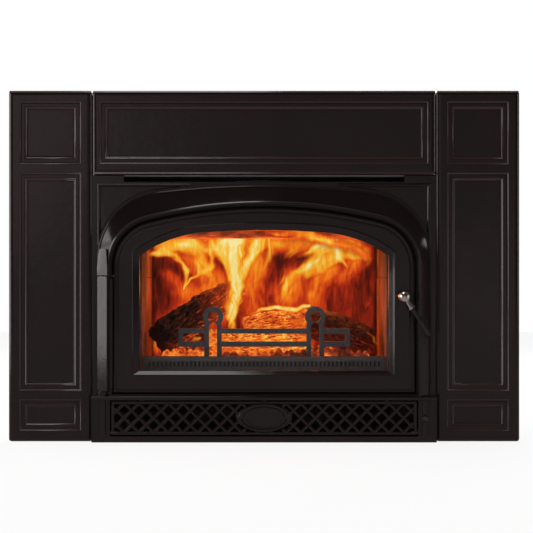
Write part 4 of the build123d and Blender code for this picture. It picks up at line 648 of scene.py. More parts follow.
front_strokes = [
    (.70, [(-7, 293, 2), (-12, 316, 6), (-3, 346, 9), (7, 370, 9), (14, 391, 8), (10, 412, 7)]),
    (.86, [(-28, 334, 2), (-36, 353, 4), (-44, 372, 5), (-49, 395, 6)]),
    (.62, [(36, 285, 5), (32, 309, 8), (37, 330, 7), (43, 349, 2)]),
    (.56, [(78, 282, 7), (92, 309, 8), (106, 334, 7), (119, 355, 3)]),
    (.88, [(-77, 227, 4), (-70, 241, 6), (-66, 269, 7), (-61, 300, 4)]),
    (.98, [(-143, 207, 4), (-132, 212, 7), (-122, 215, 4)]),
    (.82, [(-103, 206, 4), (-103, 223, 5), (-104, 234, 3)]),
    (.88, [(106, 209, 4), (106, 221, 5), (106, 231, 2)]),
    (.72, [(-77, 184, 4), (-63, 188, 6), (-45, 186, 4)]),
    (.66, [(178, 259, 1), (184, 244, 2), (198, 229, 2), (218, 219, 2), (232, 204, 1)]),
    (.45, [(220, 209, 1), (230, 220, 2), (235, 223, 1)]),
]
# gas that rolls forward under the boards and hides the first air tube
rolling_strokes = [
    (.52, [(0, 436, 9), (60, 428, 13), (140, 408, 15), (205, 382, 11)]),
    (.70, [(48, 412, 6), (88, 420, 10), (134, 410, 9)]),
]


def cloudy(x, z, size, seed):
    """Smooth random values from -1 to 1, with one lump to each size."""
    net = np.random.default_rng(seed).uniform(-1, 1, (97, 97))
    u, v = x / size + 41.3, z / size + 37.7
    i, j = np.floor(u).astype(int), np.floor(v).astype(int)
    fu, fv = u - i, v - j
    fu, fv = fu * fu * (3 - 2 * fu), fv * fv * (3 - 2 * fv)
    i, j = i % 96, j % 96
    low = net[i, j] * (1 - fu) + net[i + 1, j] * fu
    return low * (1 - fv) + (net[i, j + 1] * (1 - fu) + net[i + 1, j + 1] * fu) * fv


def flame_sheet(name, depth, strokes, haze, cut, soft, seed, foot_z=150):
    """A net of burning gas at a depth, in millimetres, drawn on the plane of the window.

    haze is the glow between the strokes. Gas that glows less than cut can't be seen, and is
    full over a span of soft above it.
    """
    cell, half_x, top_z = 2.0, 252, 432
    sight, sight_x, sight_z, window_y = 3000, 4.9, 356.5, -22
    wall_x, roof_z = 250, 435
    across, up = np.meshgrid(np.arange(-half_x, half_x, cell), np.arange(foot_z, top_z, cell), indexing="ij")
    x = across + 8 * cloudy(across, up, 42, seed) + 3.0 * cloudy(across, up, 13, seed + 1)
    z = up + 9 * cloudy(across, up, 46, seed + 2) + 3.0 * cloudy(across, up, 14, seed + 3)
    total = np.zeros_like(x)
    for number, (heat, points) in enumerate(strokes):
        best, done = np.zeros_like(x), 0.0
        for (ax, az, aw), (bx, bz, bw) in zip(points, points[1:]):
            run = ((bx - ax) ** 2 + (bz - az) ** 2) ** 0.5 or 1
            share = np.clip(((x - ax) * (bx - ax) + (z - az) * (bz - az)) / run ** 2, 0, 1)
            off = np.hypot(x - ax - share * (bx - ax), z - az - share * (bz - az))
            side = (x - ax) * (bz - az) / run - (z - az) * (bx - ax) / run
            width = aw + (bw - aw) * share + 0.8
            along = done + share * run
            fresh = np.clip(0.55 + along / 90, 0, 1)
            torn = 1 + 0.20 * cloudy(along, side * 4.0, 36, seed + 7 * number) + \
                0.13 * cloudy(along * 0.35, side, 4.5, seed + 7 * number + 3)
            best = np.maximum(best, heat * fresh * torn * np.exp(-0.8 * (off / width) ** 2))
            done += run
        total += best ** 3
    glow = np.clip(total ** (1 / 3) + haze * (1 + 0.5 * cloudy(across, up, 30, seed + 5)), 0, 1)
    veil = np.clip((glow - cut) / soft, 0, 1)
    veil = 0.96 * veil * veil * (3 - 2 * veil) * np.clip((up - foot_z) / 16, 0, 1)
    # the sheet is spread along the lines of sight, and kept between the bricks and under the boards
    y = depth + 7 * cloudy(across, up, 70, seed + 6) - 9 * glow
    reach = (sight - window_y + y) / sight
    at_x, at_z = sight_x + (across - sight_x) * reach, sight_z + (up - sight_z) * reach
    veil *= np.clip((wall_x + 1 - np.abs(at_x)) / 10, 0, 1) * (at_z < roof_z)
    at_x, at_z = np.clip(at_x, -wall_x, wall_x), np.minimum(at_z, roof_z)
    seen = veil > 0.02
    cells = seen[:-1, :-1] | seen[1:, :-1] | seen[1:, 1:] | seen[:-1, 1:]
    index = np.arange(x.size).reshape(x.shape)
    faces = np.stack([index[:-1, :-1], index[1:, :-1], index[1:, 1:], index[:-1, 1:]], axis=-1)[cells]
    kept, inverse = np.unique(faces, return_inverse=True)
    spots = np.stack([at_x, y, at_z], axis=-1).reshape(-1, 3)[kept] / 1000
    mesh = bpy.data.meshes.new(name)
    mesh.from_pydata(spots.tolist(), [], inverse.reshape(-1, 4).tolist())
    for label, values in (("gas_glow", glow), ("gas_veil", veil)):
        mesh.attributes.new(label, "FLOAT", "POINT").data.foreach_set("value", values.reshape(-1)[kept])
    mesh.materials.append(gas)
    mesh.shade_smooth()
    piece = placed(name, mesh)
    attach(piece, "root")


flame_sheet("flames_rear", 277, rear_strokes, haze=0.08, cut=0.02, soft=0.10, seed=11)
flame_sheet("flames_middle", 160, mid_strokes, haze=0.0, cut=0.36, soft=0.36, seed=23)
flame_sheet("flames_front", 104, front_strokes, haze=0.0, cut=0.50, soft=0.36, seed=37)
flame_sheet("flames_rolling", 50, rolling_strokes, haze=0.0, cut=0.02, soft=0.55, seed=53, foot_z=340)

# the fire's own light on the bricks, the logs and the tubes
for spot, power in (((-0.12, 0.20, 0.32), 2.0), ((0.02, 0.22, 0.34), 2.0), ((0.13, 0.20, 0.31), 1.0)):
    lamp = bpy.data.lights.new("fire_light", "POINT")
    lamp.energy, lamp.color, lamp.shadow_soft_size = power, (1.0, 0.20, 0.03), 0.06
    placed("fire_light", lamp).location = spot


# ---------------------------------------------------------------- front casting
# The arched front is one casting in iron, fettled smooth and dipped in a brown-black glossy porcelain
# enamel; the warmer brown on its slopes and edges is partly thin enamel and partly a painted highlight.
def enamel(name, tone_low, tone_high, thin_and_highlight_tone):
    """Brown-black porcelain enamel: deep gloss, faint orange peel, warmer on edges as thin enamel and painted
    highlight.
    """
    finish, tree, out = new_finish(name)
    place = wire(tree, "TexCoord")
    cloud = wire(tree, "TexNoise", Vector=place.outputs["Object"], Scale=9.0, Detail=3.0)
    tone = stops(tree, cloud.outputs[0], (0.35, tone_low), (0.7, tone_high))
    thin = wire(tree, "Attribute", {"attribute_name": "thin_enamel_and_highlight"})
    body = wire(tree, "Mix", {"data_type": "RGBA"}, i0=thin.outputs["Fac"], i6=tone.outputs[0],
                i7=(*thin_and_highlight_tone, 1))
    smoke = wire(tree, "TexNoise", Vector=place.outputs["Object"], Scale=4.0, Detail=5.0)
    gloss = wire(tree, "MapRange", i0=smoke.outputs[0], i1=0.3, i2=0.7, i3=0.09, i4=0.15)
    peel = wire(tree, "TexNoise", Vector=place.outputs["Object"], Scale=420.0, Detail=1.0)
    sag = wire(tree, "TexNoise", Vector=place.outputs["Object"], Scale=38.0, Detail=2.0)
    both = wire(tree, "Math", {"operation": "MULTIPLY_ADD"}, i0=sag.outputs[0], i1=4.0, i2=peel.outputs[0])
    bump = wire(tree, "Bump", Strength=0.10, Distance=0.0006, Height=both.outputs[0])
    surface(tree, out, Base_Color=body.outputs[2], Roughness=gloss.outputs[0], Normal=bump.outputs[0])
    return finish


# the last tone is the warmer brown of the slopes and edges: partly thin enamel, partly a painted highlight
brown_enamel = enamel("brown_enamel", (0.0056, 0.0033, 0.0032), (0.0078, 0.0045, 0.0044),
                      (0.0380, 0.0200, 0.0170))


def eased(line, radius, steps=4):
    """A profile line with every inner corner rounded."""
    points = [line[0]]
    for before, corner, after in zip(line, line[1:], line[2:]):
        corner, back, on = Vector(corner), Vector(before) - Vector(corner), Vector(after) - Vector(corner)
        reach = min(radius, back.length * 0.48, on.length * 0.48)
        start, end = corner + back.normalized() * reach, corner + on.normalized() * reach
        for step in range(steps + 1):
            part = step / steps
            points.append(tuple(start * (1 - part) ** 2 + corner * (2 * part * (1 - part)) + end * part ** 2))
    return points + [line[-1]]


def strip(shape, loops, closed=True):
    """Join each loop of points to the next one with a band of faces."""
    rings = [[shape.verts.new(point) for point in loop] for loop in loops]
    for ring, inner in zip(rings, rings[1:]):
        for k in range(len(ring) if closed else len(ring) - 1):
            following = (k + 1) % len(ring)
            shape.faces.new((ring[k], ring[following], inner[following], inner[k]))


def plate(shape, *loops):
    """Fill the flat area inside the first loop and outside the others."""
    verts = [shape.verts.new(point) for loop in loops for point in loop]
    for corners in tessellate_polygon([[Vector(point) for point in loop] for loop in loops]):
        shape.faces.new([verts[k] for k in corners])


def capped(shape, rings):
    """A closed form from ring to ring, with a plate at both ends."""
    strip(shape, rings)
    plate(shape, rings[0])
    plate(shape, rings[-1])


def moulding(shape, lines):
    """A bar whose section is given by the lines that run side by side along it."""
    strip(shape, lines + lines[:1], closed=False)
    plate(shape, [line[0] for line in lines])
    plate(shape, [line[-1] for line in lines])


def rectangle(x, z, y, inset=0):
    """The four corners of a rectangle that faces the room, in millimetres."""
    return [(x[0] + inset, y, z[0] + inset), (x[1] - inset, y, z[0] + inset),
            (x[1] - inset, y, z[1] - inset), (x[0] + inset, y, z[1] - inset)]


def casting(name, nodes, body, finish, shape, smooth=32, thin=0.08):
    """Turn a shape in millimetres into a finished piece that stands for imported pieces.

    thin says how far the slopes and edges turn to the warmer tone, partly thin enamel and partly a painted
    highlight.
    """
    bmesh.ops.remove_doubles(shape, verts=shape.verts, dist=0.002)
    bmesh.ops.dissolve_degenerate(shape, edges=shape.edges, dist=0.001)
    bmesh.ops.recalc_face_normals(shape, faces=shape.faces)
    bmesh.ops.scale(shape, verts=shape.verts, vec=(0.001, 0.001, 0.001))
    mesh = mesh_of(name, shape, finish)
    if thin:
        # a face counts as it slopes away from the front, so the warmer tone paints a highlight there as well
        # as thin enamel, and a large flat stays in the full tone
        large_flat = 2.5e-3
        layer = mesh.attributes.new("thin_enamel_and_highlight", "FLOAT", "FACE")
        for face in mesh.polygons:
            tilt = abs(face.normal.y)
            slope = max(0, min(1, (0.97 - tilt) / 0.3))
            layer.data[face.index].value = thin * slope * (face.area < large_flat)
    mesh.shade_smooth()
    mesh.set_sharp_from_angle(angle=radians(smooth))
    piece = placed(name, mesh)
    flat = piece.modifiers.new("flat_faces", "WEIGHTED_NORMAL")
    flat.keep_sharp = True
    piece.data = bpy.data.meshes.new_from_object(piece.evaluated_get(bpy.context.evaluated_depsgraph_get()))
    piece.modifiers.clear()
    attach(piece, body)
    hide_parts(*nodes)


# an arch is its half width, apex height, crown radius, haunch radius and haunch centre
hood_arch = (340, 522, 1800, 140, 200)
recess_arch = (312.5, 482.5, 980, 98, 214.5)


def arch_line(arch, margin, foot, y, crown_steps=26, haunch_steps=14, leg_steps=5):
    """An arch from its left foot over to its right foot, moved outwards by a margin."""
    half, apex, crown, haunch, haunch_x = arch
    lean = asin(haunch_x / (crown - haunch))
    haunch_z = apex - crown + (crown - haunch) * cos(lean)
    spring = acos(min(1, (half + margin - haunch_x) / (haunch + margin)))
    right = []
    for step in range(crown_steps):
        angle = pi / 2 - lean * step / crown_steps
        right.append(((crown + margin) * cos(angle), y, apex - crown + (crown + margin) * sin(angle)))
    reach = haunch + margin
    for step in range(haunch_steps + 1):
        angle = pi / 2 - lean + (spring - pi / 2 + lean) * step / haunch_steps
        right.append((haunch_x + reach * cos(angle), y, haunch_z + reach * sin(angle)))
    spring_z = right[-1][2]
    for step in range(1, leg_steps + 1):
        right.append((half + margin, y, spring_z + (foot - spring_z) * step / leg_steps))
    return [(-x, y, z) for x, y, z in reversed(right[1:])] + right


def between(line, other, share):
    """The line that lies a share of the way from one line of points to another."""
    return [tuple(Vector(a).lerp(Vector(b), share)) for a, b in zip(line, other)]


fascia_y, fascia_back_y = -20, -10
seam_edge = eased([(0, fascia_back_y), (0, fascia_y), (3.5, fascia_y)], 2.2)
slot_half, slot_low = 286, 529
casting_half, casting_foot, casting_top = 350, 94, 542.5
notch_x, notch_z = (282.5, 294.5), (261.4, 329.4)


def casting_outline(y, inset):
    """The front casting's outline, with the warm-air slot notched into its top edge."""
    half, top = casting_half - inset, casting_top - inset
    return [(-half, y, casting_foot), (half, y, casting_foot), (half, y, top), (slot_half, y, top),
            (slot_half, y, slot_low), (-slot_half, y, slot_low), (-slot_half, y, top), (-half, y, top)]


def opening_outline(y):
    """The hearth opening, with the notch that the latch's cam turns in."""
    line = arch_line(recess_arch, -30, 124, y)
    notch = [(notch_x[0], y, notch_z[1]), (notch_x[1], y, notch_z[1]), (notch_x[1], y, notch_z[0]),
             (notch_x[0], y, notch_z[0])]
    return line[:-4] + notch + line[-1:]


def corner_outline(side, y, inset):
    """A spandrel: the corner between the hood and a straight bead, moved inwards."""
    apex, crown, haunch, haunch_x = hood_arch[1:]
    margin = 4
    high, out, left = 521 - inset, 335 - inset, 170 + inset
    curve = [p for p in arch_line(hood_arch, margin + inset, 300, y) if left < p[0] < out and p[2] > 385]
    start = (left, y, apex - crown + ((crown + margin + inset) ** 2 - left ** 2) ** 0.5)
    haunch_z = apex - crown + ((crown - haunch) ** 2 - haunch_x ** 2) ** 0.5
    end = (out, y, haunch_z + ((haunch + margin + inset) ** 2 - (out - haunch_x) ** 2) ** 0.5)
    loop = [(left, y, max(high, start[2] + 0.4)), start, *curve, end, (out, y, high)]
    return [(side * x, y, z) for x, y, z in loop]


front = bmesh.new()
strip(front, [casting_outline(y, inset) for inset, y in seam_edge])
landing = [opening_outline(y) for y in (fascia_y, fascia_back_y)]
strip(front, landing)
corners = [corner_outline(side, fascia_y, 0) for side in (-1, 1)]
plate(front, casting_outline(fascia_y, seam_edge[-1][0]), landing[0], *corners)
plate(front, casting_outline(fascia_back_y, 0), landing[1])
for side in (-1, 1):
    sunk = [corner_outline(side, fascia_y, 0), corner_outline(side, fascia_y + 0.8, 0.2),
            corner_outline(side, fascia_y + 2.3, 0.9), corner_outline(side, fascia_y + 3, 2.0)]
    # the outlines of one spandrel may differ by a point where the curve is cut, so they are evened
    count = min(len(loop) for loop in sunk)
    sunk = [loop[:count - 2] + loop[-2:] if len(loop) > count else loop for loop in sunk]
    strip(front, sunk)
    plate(front, sunk[-1])
    # a raised bead along the top and the outer side of the spandrel
    bead = eased([(-3.2, fascia_y + 0.5), (-3.2, fascia_y - 0.6), (-1.8, fascia_y - 2.5),
                  (0.9, fascia_y - 2.5), (3.4, fascia_y - 0.2), (3.4, fascia_y + 0.5)], 1.1)
    bead_x, bead_z = 337, 523
    moulding(front, [[(side * 150, y, bead_z + offset), (side * (bead_x + offset), y, bead_z + offset),
                      (side * (bead_x + offset), y, 400)] for offset, y in bead])

# the hood: a round bead, a sloping band and a second bead, swept over the door's recess
outer_bead = eased([(0, -19.5), (0, -28.4), (-2.7, -31.2), (-3.7, -31.2), (-4.3, -29.6)], 0.9)
inner_bead = eased([(7.0, -42.6), (6.4, -43.4), (3.7, -46), (0, -46), (0, -19.5)], 1.0)
band_cove = [(0.25, 0.3), (0.5, 0.4), (0.75, 0.3)]


def hood_lines(foot):
    """The hood's profile as lines from foot to foot, from its outer edge to its inner wall."""
    lines = [arch_line(hood_arch, offset, foot, y) for offset, y in outer_bead]
    inner = [arch_line(recess_arch, offset, foot, y) for offset, y in inner_bead]
    band = [[(x, y + dip, z) for x, y, z in between(lines[-1], inner[0], share)] for share, dip in band_cove]
    return lines + band + inner


hood = hood_lines(casting_foot)
# the left leg stops above the hinge, where the door's own leg carries it on
leg_end = 338.5
for line in hood:
    low = [k for k, point in enumerate(line[:10]) if point[2] < leg_end]
    for k in low:
        line[k] = (line[k][0], line[k][1], leg_end + 0.001 * (k - len(low)))
moulding(front, hood)


def turned(shape, centre, profile, steps=28):
    """Turn a profile of (radius, height) points round an upright axis."""
    rings = [[(centre[0] + radius * cos(2 * pi * k / steps), centre[1] + radius * sin(2 * pi * k / steps), z)
              for k in range(steps)] for radius, z in profile]
    capped(shape, rings)


# the lower hinge knuckle is a plain barrel, the upper one a boss that runs up into the sloping band
pin_x, pin_y = -328, -36
knuckle = eased([(4.1, casting_foot), (10, casting_foot), (10, 103.2), (4.1, 103.2)], 1.0)
turned(front, (pin_x, pin_y), knuckle)
# an ear ties the knuckle to the fascia
ear = [rectangle((-337.9, -318.1), (94.5, 102.9), y) for y in (-36, -19.8)]
strip(front, ear)
plate(front, ear[0])
boss = [(-334, -19.8), (-338.4, -22), (-339.0, -28.5), (-338.7, -35.4), (-317.8, -52.8), (-315.8, -53.2),
        (-314.6, -47), (-314.6, -19.8)]
sunk_boss = [(-334, -19.8), (-336, -22), (-336.4, -25), (-336.2, -29.4), (-320.2, -43.0), (-319.4, -43.2),
             (-319.2, -41), (-319.2, -19.8)]
boss_loops = [[(x, y, z) for x, y in shape] for shape, z in ((boss, 338.8), (boss, 350.8), (sunk_boss, 392))]
capped(front, boss_loops)
casting("front_casting_arched", ["front_casting"], "root", brown_enamel, front)


# ---------------------------------------------------------------- base casting and lower grille
# The plinth is cast with a rounded ledge and a half-round rib on each post. The grille is a cast
# diamond lattice round a bare oval plaque, and tips forward on two pins.
def block_piece(shape, x, y, z, ease):
    """Add a block with eased edges, in millimetres."""
    made = bmesh.ops.create_cube(shape, size=1)["verts"]
    for vert in made:
        vert.co = [(span[0] + span[1]) / 2 + at * (span[1] - span[0]) for at, span in zip(vert.co, (x, y, z))]
    edges = list(dict.fromkeys(edge for vert in made for edge in vert.link_edges))
    bmesh.ops.bevel(shape, geom=edges, offset=ease, segments=2, profile=0.6, affect="EDGES")


base = bmesh.new()
ledge = eased([(-10, 86.2), (-46, 86.2), (-50, 86.2), (-50, 94), (-44, 94), (-10, 94)], 3.0)
ledge_lines = [[(x, y, z) for x in (-350, -349.2, 349.2, 350)] for y, z in ledge]
# the ledge's ends draw in a little
for line in ledge_lines:
    for k in (0, 3):
        line[k] = (line[k][0], line[k][1] + 0.4, 90 + (line[k][2] - 90) * 0.9)
moulding(base, ledge_lines)
# the bottom rail, and the foot plate that runs back from it
block_piece(base, (-349.9, 349.9), (-41.9, -10.1), (0.2, 13), 1.6)
block_piece(base, (-350, 350), (-38, 24), (0, 8), 0.5)
# the posts at both ends, each with its rib
rib_x, rib_radius, rib_y, rib_low, rib_high = 326, 6, -41.6, 14.5, 85.8
knob_seat = ((rib_low, False), (41.5, False), (42.0, True), (58.0, True), (58.5, False), (rib_high, False))
for side in (-1, 1):
    block_piece(base, sorted((side * 312, side * 350)), (-42, -10), (8, 86.6), 1.4)
    rib = [(rib_radius * cos(pi * k / 10), rib_y - rib_radius * sin(pi * k / 10)) for k in range(11)]
    lines = [[(side * rib_x + x, y, z) for z in (rib_low, rib_high)] for x, y in rib]
    if side > 0:
        # the right rib is cut flat where the air knob sits
        lines = [[(rib_x + x, max(y, -44.0) if cut else y, z) for z, cut in knob_seat] for x, y in rib]
    moulding(base, lines)
    # flat fillets beside the rib, and a small foot under it
    for x in (315.4, 337.0, 345.6):
        block_piece(base, sorted((side * (x - 0.9), side * (x + 0.9))), (-43.2, -41), (15.5, 85.6), 0.5)
    block_piece(base, sorted((side * 318.5, side * 333.5)), (-45.5, -41), (13.2, 17.5), 1.0)
casting("base_casting_plinth", ["base_casting"], "root", brown_enamel, base)

grille_half, grille_low, grille_high = 309.7, 15.3, 83.7
lattice_z, lattice_step = 50.0, 14.9
field_half, field_low, field_high = 302.5, 20.6, 78.4
oval_half, oval_high, oval_z = 55.5, 29.5, 50.5

frame_profile = eased([(0, -32), (0, -39.6), (5.0, -39.6), (6.6, -38.2), (6.6, -32)], 1.6)
grille = bmesh.new()
rim = [rectangle((-grille_half, grille_half), (grille_low, grille_high), y, inset)
       for inset, y in frame_profile]
strip(grille, rim + rim[:1])


def lattice_bars():
    """The middle lines of the diagonal bars, cut at the frame and at the oval plaque."""
    lines = []
    for lean in (-1, 1):
        for column in range(-48, 49):
            if column % 2 == 0:
                continue
            foot_x = column * lattice_step
            runs, run = [], []
            for step in range(121):
                z = field_low - 1 + (field_high - field_low + 2) * step / 120
                x = foot_x + lean * (z - lattice_z)
                off_oval = (x / oval_half) ** 2 + ((z - lattice_z) / oval_high) ** 2 > 1
                if abs(x) < field_half + 1 and off_oval:
                    run.append((x, z))
                elif run:
                    runs.append(run)
                    run = []
            for run in runs + [run]:
                if len(run) > 2:
                    lines.append((run[0], run[-1]))
    return lines


bar_y = -0.0358
bars = bmesh.new()
for foot, head in lattice_bars():
    bars.edges.new([bars.verts.new((x / 1000, bar_y, z / 1000)) for x, z in (foot, head)])
bars_mesh = bpy.data.meshes.new("lattice_lines")
bars.to_mesh(bars_mesh)
bars.free()

tree, sockets, start, end = sized_tree("lattice_bars", Bar_width=0.0095, Bar_depth=0.0078)
lines = wire(tree, "GeometryNodeMeshToCurve", Mesh=start.outputs["Geometry"])
level = wire(tree, "GeometryNodeSetCurveNormal", {"mode": "Z_UP"}, Curve=lines.outputs["Curve"])
round_bar = wire(tree, "GeometryNodeCurvePrimitiveCircle", Resolution=12, Radius=0.5)
size = wire(tree, "CombineXYZ", i0=start.outputs["Bar width"], i1=start.outputs["Bar depth"])
stretch = wire(tree, "GeometryNodeTransform", Geometry=round_bar.outputs["Curve"], Scale=size.outputs[0])
swept = wire(tree, "GeometryNodeCurveToMesh", Curve=level.outputs["Curve"],
             Profile_Curve=stretch.outputs["Geometry"], Fill_Caps=True)
real = wire(tree, "GeometryNodeRealizeInstances", Geometry=swept.outputs["Mesh"])
coat = wire(tree, "GeometryNodeSetMaterial", Geometry=real.outputs["Geometry"], Material=brown_enamel)
tree.links.new(coat.outputs["Geometry"], end.inputs["Geometry"])
lattice = grown_by_nodes(bars_mesh, tree, sockets, Bar_width=0.0086, Bar_depth=0.0088)
bmesh.ops.scale(grille, verts=grille.verts, vec=(0.001, 0.001, 0.001))
grille.from_mesh(lattice)
bmesh.ops.scale(grille, verts=grille.verts, vec=(1000, 1000, 1000))


def oval(x, z, half_x, half_z, y, steps):
    """The points of an oval that faces the room, in millimetres."""
    return [(x + half_x * cos(2 * pi * k / steps), y, z + half_z * sin(2 * pi * k / steps))
            for k in range(steps)]


# the solid boss behind the plaque
capped(grille, [oval(0, oval_z, a, b, y, 64)
                for a, b, y in ((56.2, 29.6, -32.2), (56.2, 29.6, -38.4), (54.5, 28.4, -39.6))])
casting("lower_grille_lattice", ["lower_grille"], "grille", brown_enamel, grille, smooth=40)

# half width, half height and depth of the plaque's rims, from its edge to its middle
plaque_profile = [(52, 29, -39.5), (52, 29, -40.6), (51.3, 28.4, -41.4), (49.8, 27.2, -41.9),
                  (47.6, 25.4, -42.0), (45.8, 23.9, -41.5), (44.8, 23.1, -40.8), (43.4, 22.2, -40.5),
                  (41.8, 21.4, -40.9), (40.0, 20.6, -41.5), (38.2, 20.0, -41.6), (36.6, 19.4, -41.2),
                  (35.6, 19.0, -40.9), (30.0, 16.2, -40.95), (20.0, 10.8, -41.05), (8.0, 4.4, -41.1)]
plaque = bmesh.new()
capped(plaque, [oval(0, oval_z, a, b, y, 72) for a, b, y in plaque_profile])
# a roped border lies between the two rims, one slanted bead after another
rope_beads = 54
for k in range(rope_beads):
    angle = 2 * pi * (k + 0.5) / rope_beads
    if abs(sin(angle)) > 0.93:
        continue
    x, z = 48.6 * cos(angle), oval_z + 26.2 * sin(angle)
    bead = bmesh.ops.create_uvsphere(plaque, u_segments=8, v_segments=5, radius=1)["verts"]
    bmesh.ops.scale(plaque, verts=bead, vec=(3.3, 0.9, 1.25))
    bmesh.ops.rotate(plaque, verts=bead, matrix=Matrix.Rotation(-angle - radians(38), 3, "Y"))
    bmesh.ops.translate(plaque, verts=bead, vec=(x, -41.0, z))
casting("grille_plaque_oval", ["grille_plaque"], "grille", brown_enamel, plaque, smooth=40)
dress(black_steel, "grille_pins")


# ---------------------------------------------------------------- air control knob
# A turned steel knob in a dark finish, with a groove round its waist. It sits on the end of the rod
# that slides the air shutter, and is pulled out with it.
dark_nickel = metal("dark_nickel", (0.10, 0.095, 0.095), 0.22, spread=0.04)
knob = bmesh.new()
knob_profile = eased([(0.4, -56), (4.2, -56), (5.6, -54.2), (5.6, -49.5), (4.6, -48.6), (5.6, -47.6),
                      (5.6, -44.4), (3.1, -44.4)], 0.9)
knob_z = 50
capped(knob, [oval(rib_x, knob_z, radius, radius, y, 32) for radius, y in knob_profile])
casting("air_knob_turned", ["air_control_knob"], "air_control", dark_nickel, knob, thin=0)


# ---------------------------------------------------------------- door
# The door is cast and enamelled like the front, with a raised bead round its window. Ceramic
# glass lies behind it on a woven tape, held by a steel retainer with small screws.
window_arch = (254, 432, 1490, 250, 106.6)
door_gap, door_foot, window_foot = 2.8, 96.8, 144
door = bmesh.new()
door_edge = eased([(0, -22), (0, -31.0), (5.0, -37.6), (9.0, -38.2), (10.5, -37.2), (13, -37.4), (16, -38),
                   (22, -38)], 2.4)
bead_profile = eased([(14.6, -38), (13.0, -38.2), (12.3, -40.7), (11.2, -40.7), (6.2, -37.7), (5.4, -37.3),
                      (-1.0, -33.7), (-1.8, -32.4), (-1.8, -28)], 0.7)


def door_ring(offset, y):
    """The door's outline, moved inwards by an offset from its edge."""
    return arch_line(recess_arch, -door_gap - offset, door_foot + offset, y)


def window_ring(offset, y):
    """The window's outline, moved outwards by an offset, and by less along the foot."""
    return arch_line(window_arch, offset, window_foot - 0.6 * offset, y)


outer = [door_ring(offset, y) for offset, y in door_edge]
inner = [window_ring(offset, y) for offset, y in bead_profile]
strip(door, outer)
strip(door, inner)
plate(door, outer[-1], inner[0])
# behind: the pocket for the glass and the channel for the rope
pocket = [window_ring(-1.8, -28), window_ring(12, -28), window_ring(12, -22)]
strip(door, pocket)
channel = [door_ring(5, -22), door_ring(5, -27), door_ring(14, -27), door_ring(14, -22)]
strip(door, channel)
plate(door, outer[0], channel[0])
plate(door, channel[-1], pocket[-1])
# the hinge leg carries on the hood's sloping band, just proud of the pins and bushes inside it
leg = eased([(-332, -25.2), (-338.6, -25.2), (-339.2, -28.5), (-338.7, -35.4), (-317.8, -52.8),
             (-315.8, -53.2), (-313.4, -47.5), (-313.4, -28), (-332, -25.2)], 1.2)[:-1]
capped(door, [[(pin_x + (x - pin_x) * size, pin_y + (y - pin_y) * size, z) for x, y in leg]
              for size, z in ((0.84, 103.9), (0.94, 104.8), (1, 107), (1, 335.0), (0.95, 336.0))])
block_piece(door, (-328, -307.5), (-35, -27), (109.5, 331.5), 0.6)
casting("door_frame_arched", ["door_frame"], "door", brown_enamel, door)

ceramic_glass, tree, out = new_finish("ceramic_glass")
smoke = wire(tree, "TexNoise", Vector=wire(tree, "TexCoord").outputs["Object"], Scale=7.0, Detail=4.0)
haze = wire(tree, "MapRange", i0=smoke.outputs[0], i1=0.35, i2=0.75, i3=0.03, i4=0.08)
surface(tree, out, Base_Color=(0.02, 0.015, 0.012, 1), Roughness=0.04, Alpha=haze.outputs[0])
dress(ceramic_glass, "door_glass")
rope = metal("glass_rope", (0.24, 0.23, 0.21), 0.9, metallic=0.0, grain=400.0, bump_depth=0.002)
bronze = metal("oiled_bronze", (0.17, 0.11, 0.06), 0.5)
dress(rope, "glass_tape", "door_rope_gasket")
dress(black_steel, "glass_retainer", "hinge_pins")
dress(zinc, "retainer_screws")
dress(bronze, "hinge_bushes")


# ---------------------------------------------------------------- latch and handle
# A nickel-plated hub with a flared neck carries a black rod. Its zinc-plated shaft goes through the
# door and turns a cam, which draws in behind a keeper on the front casting.
nickel = metal("polished_nickel", (0.80, 0.77, 0.73), 0.12, spread=0.04)
black_gloss = metal("black_phenolic", (0.012, 0.012, 0.012), 0.14, metallic=0.0, spread=0.04)
dress(nickel, "handle_hub")
dress(black_gloss, "handle_grip")
dress(zinc, "latch_shaft", "latch_collars", "latch_cam", "latch_keeper")


# ---------------------------------------------------------------- surround panels
# Three hollow-backed castings close the gap to the wall. Each field is sunk inside a frame of two
# rounded steps with a groove between. Straps and brackets join them from behind.
field_frame = eased([(0, 0), (1.0, 0), (3.2, 2.5), (4.2, 3.1), (5.6, 2.5), (10.4, 2.5), (12.0, 2.7),
                     (15.6, 6.2), (17.0, 6.9), (19.0, 6.5)], 0.9)
panel_y = -22
round_reach, round_growth = 5.1, 2.1
arris = [(-17, 714.8), (-18.6, 714.8), (-21.9, 711.4), (-21.6, 710.6), (-17, 710.6)]
header_lip = eased([(-20, 544.2), (-23.4, 544.6), (-24.5, 545.6), (-21.8, 548.4), (-20, 548.4)], 0.4)


def ridge(shape, x, profile):
    """A level moulding from one side to the other, with a section given as (depth, height)."""
    moulding(shape, [[(at, y, z) for at in x] for y, z in profile])


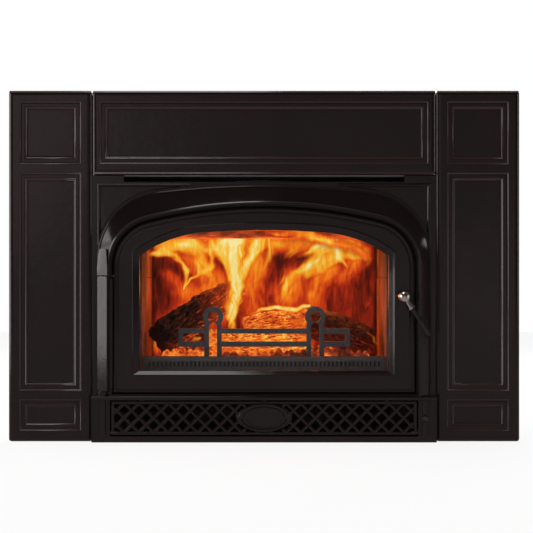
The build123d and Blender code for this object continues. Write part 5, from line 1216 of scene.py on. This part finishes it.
def surround_panel(name, node, fields):
    """A packed panel with its plain sunk fields taken out and moulded frames let in."""
    shape = merged_copy(node)
    bmesh.ops.scale(shape, verts=shape.verts, vec=(1000, 1000, 1000))
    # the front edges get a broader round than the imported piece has
    low, high = Vector((1e9, 0, 1e9)), Vector((-1e9, 0, -1e9))
    for vert in shape.verts:
        for axis in (0, 2):
            low[axis], high[axis] = min(low[axis], vert.co[axis]), max(high[axis], vert.co[axis])
    for vert in shape.verts:
        if vert.co.y < panel_y + round_reach:
            for axis in (0, 2):
                for edge in (low[axis], high[axis]):
                    if abs(vert.co[axis] - edge) < round_reach:
                        vert.co[axis] = edge + (vert.co[axis] - edge) * round_growth
    plain = []
    for face in shape.faces:
        depths = [vert.co.y for vert in face.verts]
        if max(depths) < panel_y + 6.6 and max(depths) > panel_y + 0.01:
            middle = face.calc_center_median()
            if any(x[0] < middle.x < x[1] and z[0] < middle.z < z[1] for x, z in fields):
                plain.append(face)
    bmesh.ops.delete(shape, geom=plain, context="FACES")
    for x, z in fields:
        loops = [rectangle(x, z, panel_y + depth, inset) for inset, depth in field_frame]
        strip(shape, loops)
        plate(shape, loops[-1])
    # a flat arris runs along the top, and the header has a thin lip above the warm-air slot
    ends = (low.x + 1.6, high.x - 1.6)
    ridge(shape, ends, arris)
    if low.z > 500:
        ridge(shape, ends, header_lip)
    casting(name, [node], "root", brown_enamel, shape, thin=1)


field_in, field_out = 372, 499.5
for side, word in ((-1, "left"), (1, "right")):
    field_x = tuple(sorted((side * field_in, side * field_out)))
    surround_panel(f"surround_{word}_panel", f"surround_{word}",
                   [(field_x, (564, 694)), (field_x, (102.5, 548.5)), (field_x, (21, 87))])
surround_panel("surround_header_panel", "surround_header", [((-336, 336), (564.5, 694))])
dress(zinc, "surround_straps", "side_brackets", "surround_screws", "casting_screws")


# ---------------------------------------------------------------- seam gaskets
# Thin strips of black glass-fibre gasket lie in the seams between the castings and the panels, and
# are held there by the clamped joint.
gaskets = bmesh.new()
for side in (-1, 1):
    block_piece(gaskets, sorted((side * 350.05, side * 350.95)), (-15, -2), (3, 706), 0.1)
block_piece(gaskets, (-349.9, 349.9), (-18, -11), (542.55, 543.45), 0.1)
black_gasket = metal("black_gasket", (0.010, 0.009, 0.009), 0.9, metallic=0.0, grain=400.0, bump_depth=0.001)
casting("seam_gaskets", [], "root", black_gasket, gaskets, thin=0)
